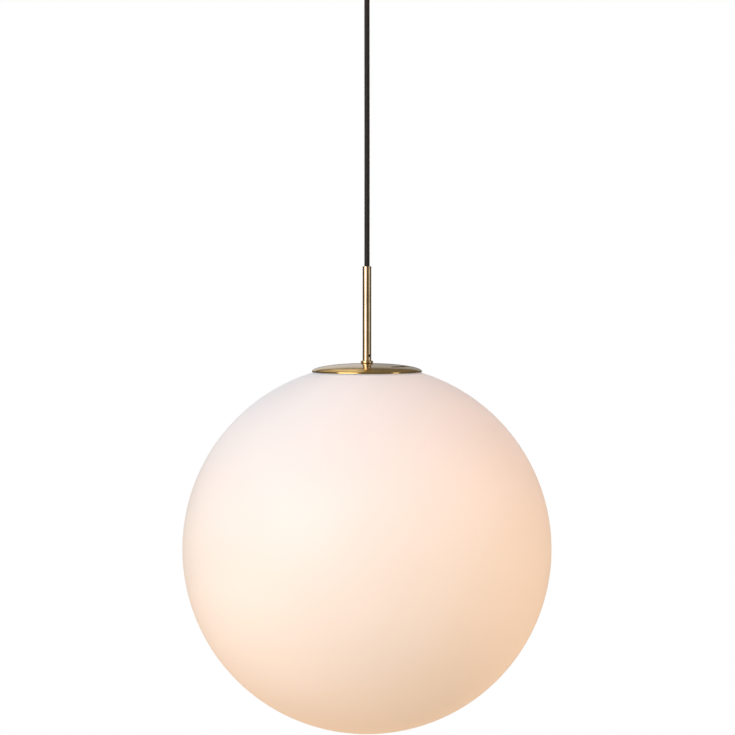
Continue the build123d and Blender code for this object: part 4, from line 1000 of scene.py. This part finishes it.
NIPPLE_RADIUS, _, _ = extent("nipple")
_, collar_foot, collar_top = extent("collar")


def show_grooved(node, name, finish, body, slot, pitch=0.0, **sizes):
    """A grooved tube as high as its node; a pitch gives the number of turns."""
    radius, foot, top = extent(node)
    if pitch:
        sizes["Turns"] = (top - foot) / pitch
    piece = grooved.make(name, finish, **{"Radius": radius, "Foot": foot, "Top": top, **sizes})
    smooth(piece, 50.0)
    dress(piece, finish, body, slot, node)


show_grooved(
    "nipple", "threaded_nipple", machined_brass, "pendant", "contact_brass", NIPPLE_PITCH,
    Bore=NIPPLE_BORE, Depth=0.5 * NIPPLE_PITCH, Steps=501, Segments=40,
)
collar_brass = brushed_brass("collar_brass", POLISHED_BRASS, **DRAWN)
show_turned(
    "collar", "round_collar", NIPPLE_RADIUS, collar_brass, "pendant", "polished_brass",
    foot_round=COLLAR_ROUND, top_round=COLLAR_ROUND,
)
show_turned(
    "distance_sleeve", "spacer_sleeve", NIPPLE_RADIUS, machined_brass, "pendant",
    "contact_brass", 64,
)
for nut_node in ("gallery_nut", "lampholder_nut"):
    nut = hexagon_nut(nut_node, "hexagon_" + nut_node, NIPPLE_RADIUS)
    dress(nut, machined_brass, "pendant", "contact_brass", nut_node)

# ---------------------------------------------------------------------------- cap
# A shallow dome spun from sheet brass, brushed on the lathe and lacquered, with a
# short upright lip. Two curved vents are pressed through it to let out the heat.

CAP_WALL = 0.001
CAP_LIP = 0.001
CAP_LIP_EDGE = 0.0003
CAP_STEPS = 64
VENT_RADIUS = 0.044
VENT_WIDTH = 0.0045
VENT_SWEEP = 40.0
VENT_AZIMUTHS = (-31.0, 149.0)

CAP_RADIUS = (cap_high.x - cap_low.x) / 2
DOME_HEIGHT = collar_foot - CAP_RIM - CAP_LIP


def half_ellipse(across, up, hole):
    """A dome's profile from its rim to the edge of a hole in its top."""
    last = pi / 2 - atan2(hole, across)
    angles = [last * step / CAP_STEPS for step in range(CAP_STEPS + 1)]
    return [(across * cos(a), CAP_RIM + CAP_LIP + up * sin(a)) for a in angles]


def slot_block(azimuth, steps=24):
    """An upright block in the shape of one curved vent with round ends."""
    half = VENT_WIDTH / 2
    first, last = azimuth - VENT_SWEEP / 2, azimuth + VENT_SWEEP / 2
    start, end = on_circle(VENT_RADIUS, first), on_circle(VENT_RADIUS, last)
    outline = (
        arc((0, 0), VENT_RADIUS + half, first, last, steps)
        + arc(end, half, last, last + 180, ROUND_STEPS)[1:-1]
        + arc((0, 0), VENT_RADIUS - half, last, first, steps)
        + arc(start, half, first + 180, first + 360, ROUND_STEPS)[1:-1]
    )
    return prism("vent", outline, CAP_RIM, collar_top)


cap_outline = (
    [(CAP_RADIUS - CAP_WALL, CAP_RIM)]
    + arc((CAP_RADIUS - CAP_LIP_EDGE, CAP_RIM + CAP_LIP_EDGE), CAP_LIP_EDGE, -90, 0, 4)
    + half_ellipse(CAP_RADIUS, DOME_HEIGHT, NIPPLE_RADIUS)
    + half_ellipse(CAP_RADIUS - CAP_WALL, DOME_HEIGHT - CAP_WALL, NIPPLE_RADIUS)[::-1]
)
cap = lathe("brass_cap", cap_outline, 192)
for vent_azimuth in VENT_AZIMUTHS:
    cap = cut(cap, slot_block(vent_azimuth), "brass_cap")
smooth(cap, 35.0)
dress(cap, cap_brass, "pendant", "brass", "cap")

# ------------------------------------------------------------------------- gasket
# A ring of clear silicone that sits under the cap's rim, so that brass never
# touches glass.

silicone = worn(
    "clear_silicone", (0.86, 0.87, 0.86), 0.30, 300.0, gloss=(0.22, 0.42), relief=0.00002,
    Transmission_Weight=0.5, IOR=1.41,
)
show_solid("gasket", "silicone_gasket", 0.0002, silicone, "pendant", "clear_rubber")

# ------------------------------------------------------ spring carrier, arms, rivets
# Three arms of spring steel, riveted to a pressed steel spider on the nipple, hook
# outwards under the edge of the glass and hold the globe up against the cap.

spider_steel = worn(
    "pressed_steel", (0.58, 0.58, 0.59), 0.35, 1800.0, stretch=(0.1, 1, 1),
    shades=((0.3, (0.50, 0.50, 0.51)), (0.7, (0.66, 0.66, 0.67))),
    gloss=(0.28, 0.44), relief=0.00001, Metallic=1.0,
)
show_solid("spring_carrier", "spring_spider", 0.0002, spider_steel, "pendant", "steel")

spring_steel = worn(
    "spring_steel", (0.50, 0.51, 0.54), 0.24, 5000.0, 2.0, stretch=(1, 1, 0.03),
    shades=((0.3, (0.42, 0.43, 0.46)), (0.7, (0.58, 0.59, 0.62))),
    gloss=(0.18, 0.32), relief=0.000006, Metallic=1.0,
)
for arm in ("1", "2", "3"):
    show_solid(
        "spring_arm_" + arm, "globe_spring_" + arm, FINE_EDGE, spring_steel, "pendant",
        "spring_steel",
    )


def rivets_recipe():
    """A rivet with a domed head above and a flat tail below, on every point of a mesh."""
    rivets = Recipe(
        "rivets", Radius=0.0025, Head=0.001, Grip=0.0023, Shank=0.0015, Steps=25, Segments=32
    )
    size = rivets.inputs
    sheet, along, around = rivets.grid(size["Steps"], size["Segments"])
    fall = rivets.times(along, pi)
    half_grip = rivets.times(0.5, size["Grip"])
    swell = rivets.sum("SINE", fall)
    drop = rivets.sum("COSINE", fall)
    side = rivets.sum("SIGN", drop)
    waist = rivets.sum("LESS_THAN", rivets.sum("ABSOLUTE", drop), 0.1)
    radius = rivets.plus(
        rivets.times(size["Radius"], swell),
        rivets.times(waist, rivets.minus(size["Shank"], size["Radius"])),
    )
    height = rivets.plus(rivets.times(side, half_grip), rivets.times(size["Head"], drop))
    place = rivets.polar(radius, rivets.times(around, 2 * pi), height)
    rivets.serve(rivets.scattered(size["Geometry"], rivets.shaped(sheet, place)))
    return rivets


RIVET_RADII = (0.029, 0.038)
ARM_AZIMUTHS = (90.0, 210.0, 330.0)
RIVET_HEAD = 0.001
rivets_low, rivets_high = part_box("arm_rivets")
rivet_level = (rivets_low.z + rivets_high.z) / 2
rivet_places = [
    (*on_circle(radius, azimuth), rivet_level)
    for azimuth in ARM_AZIMUTHS
    for radius in RIVET_RADII
]
arm_rivets = rivets_recipe().make(
    "spring_rivets", spider_steel, points("rivet_places", rivet_places),
    Head=RIVET_HEAD, Grip=rivets_high.z - rivets_low.z - 2 * RIVET_HEAD,
)
smooth(arm_rivets, 40.0)
dress(arm_rivets, spider_steel, "pendant", "steel", "arm_rivets")

# --------------------------------------------------------------------- lampholder
# A brass cap and a threaded brass body, screwed together round a porcelain insert.
# The insert carries the terminals above and the screw shell and contact below.

HOLDER_WALL = 0.0016
HOLDER_CAP_ROUND = 0.006
HOLDER_PITCH = 0.002
RING_RIBS = 60.0
holder_radius, holder_cap_foot, holder_cap_top = extent("lampholder_cap")
holder_corner = (holder_radius - HOLDER_CAP_ROUND, holder_cap_top - HOLDER_CAP_ROUND)
BEAD = 0.0004
holder_cap_outline = (
    [(holder_radius - HOLDER_WALL, holder_cap_foot), (holder_radius, holder_cap_foot)]
    + [(holder_radius, holder_cap_foot + 0.0030), (holder_radius - BEAD, holder_cap_foot + 0.0034)]
    + [(holder_radius - BEAD, holder_cap_foot + 0.0044), (holder_radius, holder_cap_foot + 0.0048)]
    + arc(holder_corner, HOLDER_CAP_ROUND, 0, 90, 2 * ROUND_STEPS)
    + [(NIPPLE_RADIUS, holder_cap_top), (NIPPLE_RADIUS, holder_cap_top - HOLDER_WALL)]
    + arc(holder_corner, HOLDER_CAP_ROUND - HOLDER_WALL, 90, 0, 2 * ROUND_STEPS)
)
holder_cap = lathe("holder_cap", holder_cap_outline)
holder_brass = brushed_brass(
    "holder_brass", (0.62, 0.46, 0.22), 0.20, 0.32, depth=0.000006, fine=2600.0
)
dress(holder_cap, holder_brass, "pendant", "brass", "lampholder_cap")

show_grooved(
    "lampholder_body", "holder_body", holder_brass, "pendant", "brass", HOLDER_PITCH,
    Radius=holder_radius, Bore=holder_radius - HOLDER_WALL, Depth=0.0005, Shoulder=0.0006,
    Steps=241, Segments=96,
)
show_grooved(
    "lampholder_ring", "ribbed_ring", black_plastic, "pendant", "black_plastic",
    Bore=holder_radius, Depth=0.0008, Starts=RING_RIBS, Turns=0.0, Sharpness=2.0,
    Shoulder=0.0012, Steps=41, Segments=361,
)

porcelain = worn(
    "white_porcelain", (0.83, 0.82, 0.78), 0.16, 120.0, 4.0, gloss=(0.12, 0.24),
    shades=((0.35, (0.80, 0.79, 0.74)), (0.7, (0.86, 0.85, 0.82))), relief=0.00003,
    Coat_Weight=0.6, Coat_Roughness=0.08,
)
show_turned(
    "lampholder_insert", "porcelain_insert", 0.0, porcelain, "pendant", "porcelain",
    foot_round=0.0008, top_round=0.0008,
)

SHELL_WALL = 0.0005
LAMP_PITCH = 0.0036
LAMP_THREAD_DEPTH = 0.0011
show_grooved(
    "screw_shell", "screw_shell_rolled", machined_brass, "pendant", "contact_brass",
    LAMP_PITCH, Wall=SHELL_WALL, Depth=0.0003, Shoulder=0.0002, Steps=161, Segments=96,
)
for metal_node, metal_name, metal_edge in (
    ("centre_contact", "spring_contact", 0.0001),
    ("lampholder_terminals", "holder_terminals", 0.0003),
):
    show_solid(
        metal_node, metal_name, metal_edge, machined_brass, "pendant", "contact_brass"
    )

TERMINAL_RADIUS = 0.011
TERMINAL_AZIMUTHS = (30.0, 150.0, 270.0)
_, head_foot, head_top = extent("lampholder_screws")
holder_screw_places = [
    (*on_circle(TERMINAL_RADIUS, azimuth), (head_foot + head_top) / 2)
    for azimuth in TERMINAL_AZIMUTHS
]
put_screws(
    "lampholder_screws", "holder_screws", holder_screw_places, "pendant",
    Height=head_top - head_foot,
)
show_cores("lower", "holder", "pendant")

# --------------------------------------------------------------------------- bulb
# A round opal bulb on a rolled nickel-plated screw cap. A white plastic neck joins
# them, and black glass insulates the soldered contact from the cap.

BULB_GLASS_WALL = 0.001
BULB_NECK_EDGE = 0.0005
BULB_STEPS = 48

nickel = worn(
    "nickel_plate", (0.66, 0.64, 0.60), 0.22, 500.0, 4.0, gloss=(0.16, 0.34), Metallic=1.0,
    shades=((0.3, (0.56, 0.54, 0.50)), (0.7, (0.72, 0.70, 0.66))),
)
show_grooved(
    "bulb_screw_cap", "rolled_screw_cap", nickel, "bulb", "steel", LAMP_PITCH,
    Depth=LAMP_THREAD_DEPTH, Shoulder=0.0020, Steps=161, Segments=96,
)
solder = worn(
    "solder", (0.70, 0.70, 0.69), 0.35, 900.0, gloss=(0.25, 0.5), relief=0.00008, Metallic=1.0
)
show_turned(
    "bulb_contact", "solder_contact", 0.0, solder, "bulb", "steel", 48,
    foot_round=0.0001, top_round=0.0009,
)
black_glass = worn(
    "black_glass", (0.010, 0.010, 0.012), 0.08, 260.0, 2.0, gloss=(0.05, 0.14), relief=0.00006
)
show_solid("bulb_insulator", "glass_insulator", 0.0004, black_glass, "bulb", "black_glass")

neck_radius, neck_foot, neck_top = extent("bulb_collar")
NECK_TOP_RADIUS = extent("bulb_screw_cap")[0] + 0.0004
NECK_RIM = 0.002
neck_outline = (
    [(0.0, neck_foot)]
    + arc(
        (neck_radius - BULB_NECK_EDGE, neck_foot + BULB_NECK_EDGE), BULB_NECK_EDGE,
        -90, 0, ROUND_STEPS,
    )
    + [(neck_radius, neck_foot + NECK_RIM)]
    + [(NECK_TOP_RADIUS, neck_top - NECK_RIM), (NECK_TOP_RADIUS, neck_top), (0.0, neck_top)]
)
neck_plastic = worn(
    "neck_plastic", (0.82, 0.82, 0.80), 0.35, 900.0, gloss=(0.30, 0.42), relief=0.00001,
    shades=((0.35, (0.79, 0.79, 0.77)), (0.7, (0.84, 0.84, 0.82))),
)
dress(lathe("bulb_neck", neck_outline), neck_plastic, "bulb", "white_plastic", "bulb_collar")

bulb_radius, bulb_foot, bulb_top = extent("bulb_envelope")
bulb_centre = bulb_foot + bulb_radius
bulb_mouth = bulb_top - bulb_centre
neck_angle = atan2(bulb_mouth, sqrt(bulb_radius**2 - bulb_mouth**2)) * 180 / pi
bulb_outline = arc((0, bulb_centre), bulb_radius, -90, neck_angle, BULB_STEPS) + arc(
    (0, bulb_centre), bulb_radius - BULB_GLASS_WALL, neck_angle, -90, BULB_STEPS
)
bulb_opal = worn(
    "bulb_opal", (0.90, 0.89, 0.86), 0.22, 60.0, gloss=(0.18, 0.28),
    shades=((0.35, (0.88, 0.86, 0.83)), (0.7, (0.92, 0.91, 0.89))),
    Subsurface_Weight=0.3, Subsurface_Radius=(0.004, 0.0035, 0.003), Subsurface_Scale=1.0,
    Coat_Weight=0.3, Coat_Roughness=0.15,
)
dress(lathe("bulb_glass", bulb_outline), bulb_opal, "bulb", "bulb_glass", "bulb_envelope")

# -------------------------------------------------------------------- glass globe
# Mouth-blown opal glass, white right through, with a satin etched surface. The
# opening in its top is cut and ground flat, with its edges taken off.

GLASS_WALL = 0.003
GLASS_OPENING_RADIUS = 0.050
GLASS_EDGE_ROUND = 0.0010
GLOBE_STEPS = 110
GLOBE_SEGMENTS = 256

edge_top = GLOBE_CENTRE + sqrt(GLOBE_RADIUS**2 - GLASS_OPENING_RADIUS**2)
edge_foot = GLOBE_CENTRE + sqrt((GLOBE_RADIUS - GLASS_WALL) ** 2 - GLASS_OPENING_RADIUS**2)
edge_angle = 90 - (GLASS_OPENING_RADIUS + GLASS_EDGE_ROUND) / GLOBE_RADIUS * 180 / pi
edge_middle = GLASS_OPENING_RADIUS + GLASS_EDGE_ROUND
globe_outline = (
    arc((0, GLOBE_CENTRE), GLOBE_RADIUS, -90, edge_angle, GLOBE_STEPS)
    + arc((edge_middle, edge_top - GLASS_EDGE_ROUND), GLASS_EDGE_ROUND, 90, 180, ROUND_STEPS)
    + arc((edge_middle, edge_foot + GLASS_EDGE_ROUND), GLASS_EDGE_ROUND, 180, 270, ROUND_STEPS)
    + arc(
        (0, GLOBE_CENTRE), GLOBE_RADIUS - GLASS_WALL, edge_angle - 0.2, -90, GLOBE_STEPS // 2
    )
)
opal_globe = lathe("globe_glass", globe_outline, GLOBE_SEGMENTS, sharp=60.0)

opal = Finish(
    "opal_glass", (0.93, 0.90, 0.87), roughness=0.42, Specular_IOR_Level=0.35,
    Emission_Strength=1.0,
)
etching = opal.noise(opal.places(), 2600.0, detail=3.0)
opal.relief(etching, 0.00003, strength=0.5)
swirl = opal.noise(opal.places((1, 1, 1.6)), 9.0, detail=4.0)
opal.shades(swirl, (0.35, (0.92, 0.88, 0.85)), (0.7, (0.94, 0.91, 0.88)))
opal.gloss(swirl, 0.38, 0.47)
# Painted light and shade: the glass glows by itself, in place of the bulb's light shining through
# it. Its glow runs by height from warm at the foot to cool and dim under the cap.
PAINTED_GLOW_LEVELS = ((0.0, (0.25, 0.165, 0.090)), (0.5, (0.18, 0.18, 0.15)), (1.0, (0.08, 0.15, 0.22)))
painted_glow_height = opal.add("ShaderNodeMapRange", From_Min=globe_low.z, From_Max=globe_high.z)
opal.join(opal.parts()["Z"], painted_glow_height, "Value")
opal.join(opal.ramp(painted_glow_height, PAINTED_GLOW_LEVELS), opal.shader, "Emission Color")
dress(opal_globe, opal, "globe", "opal_glass", "opal_globe")
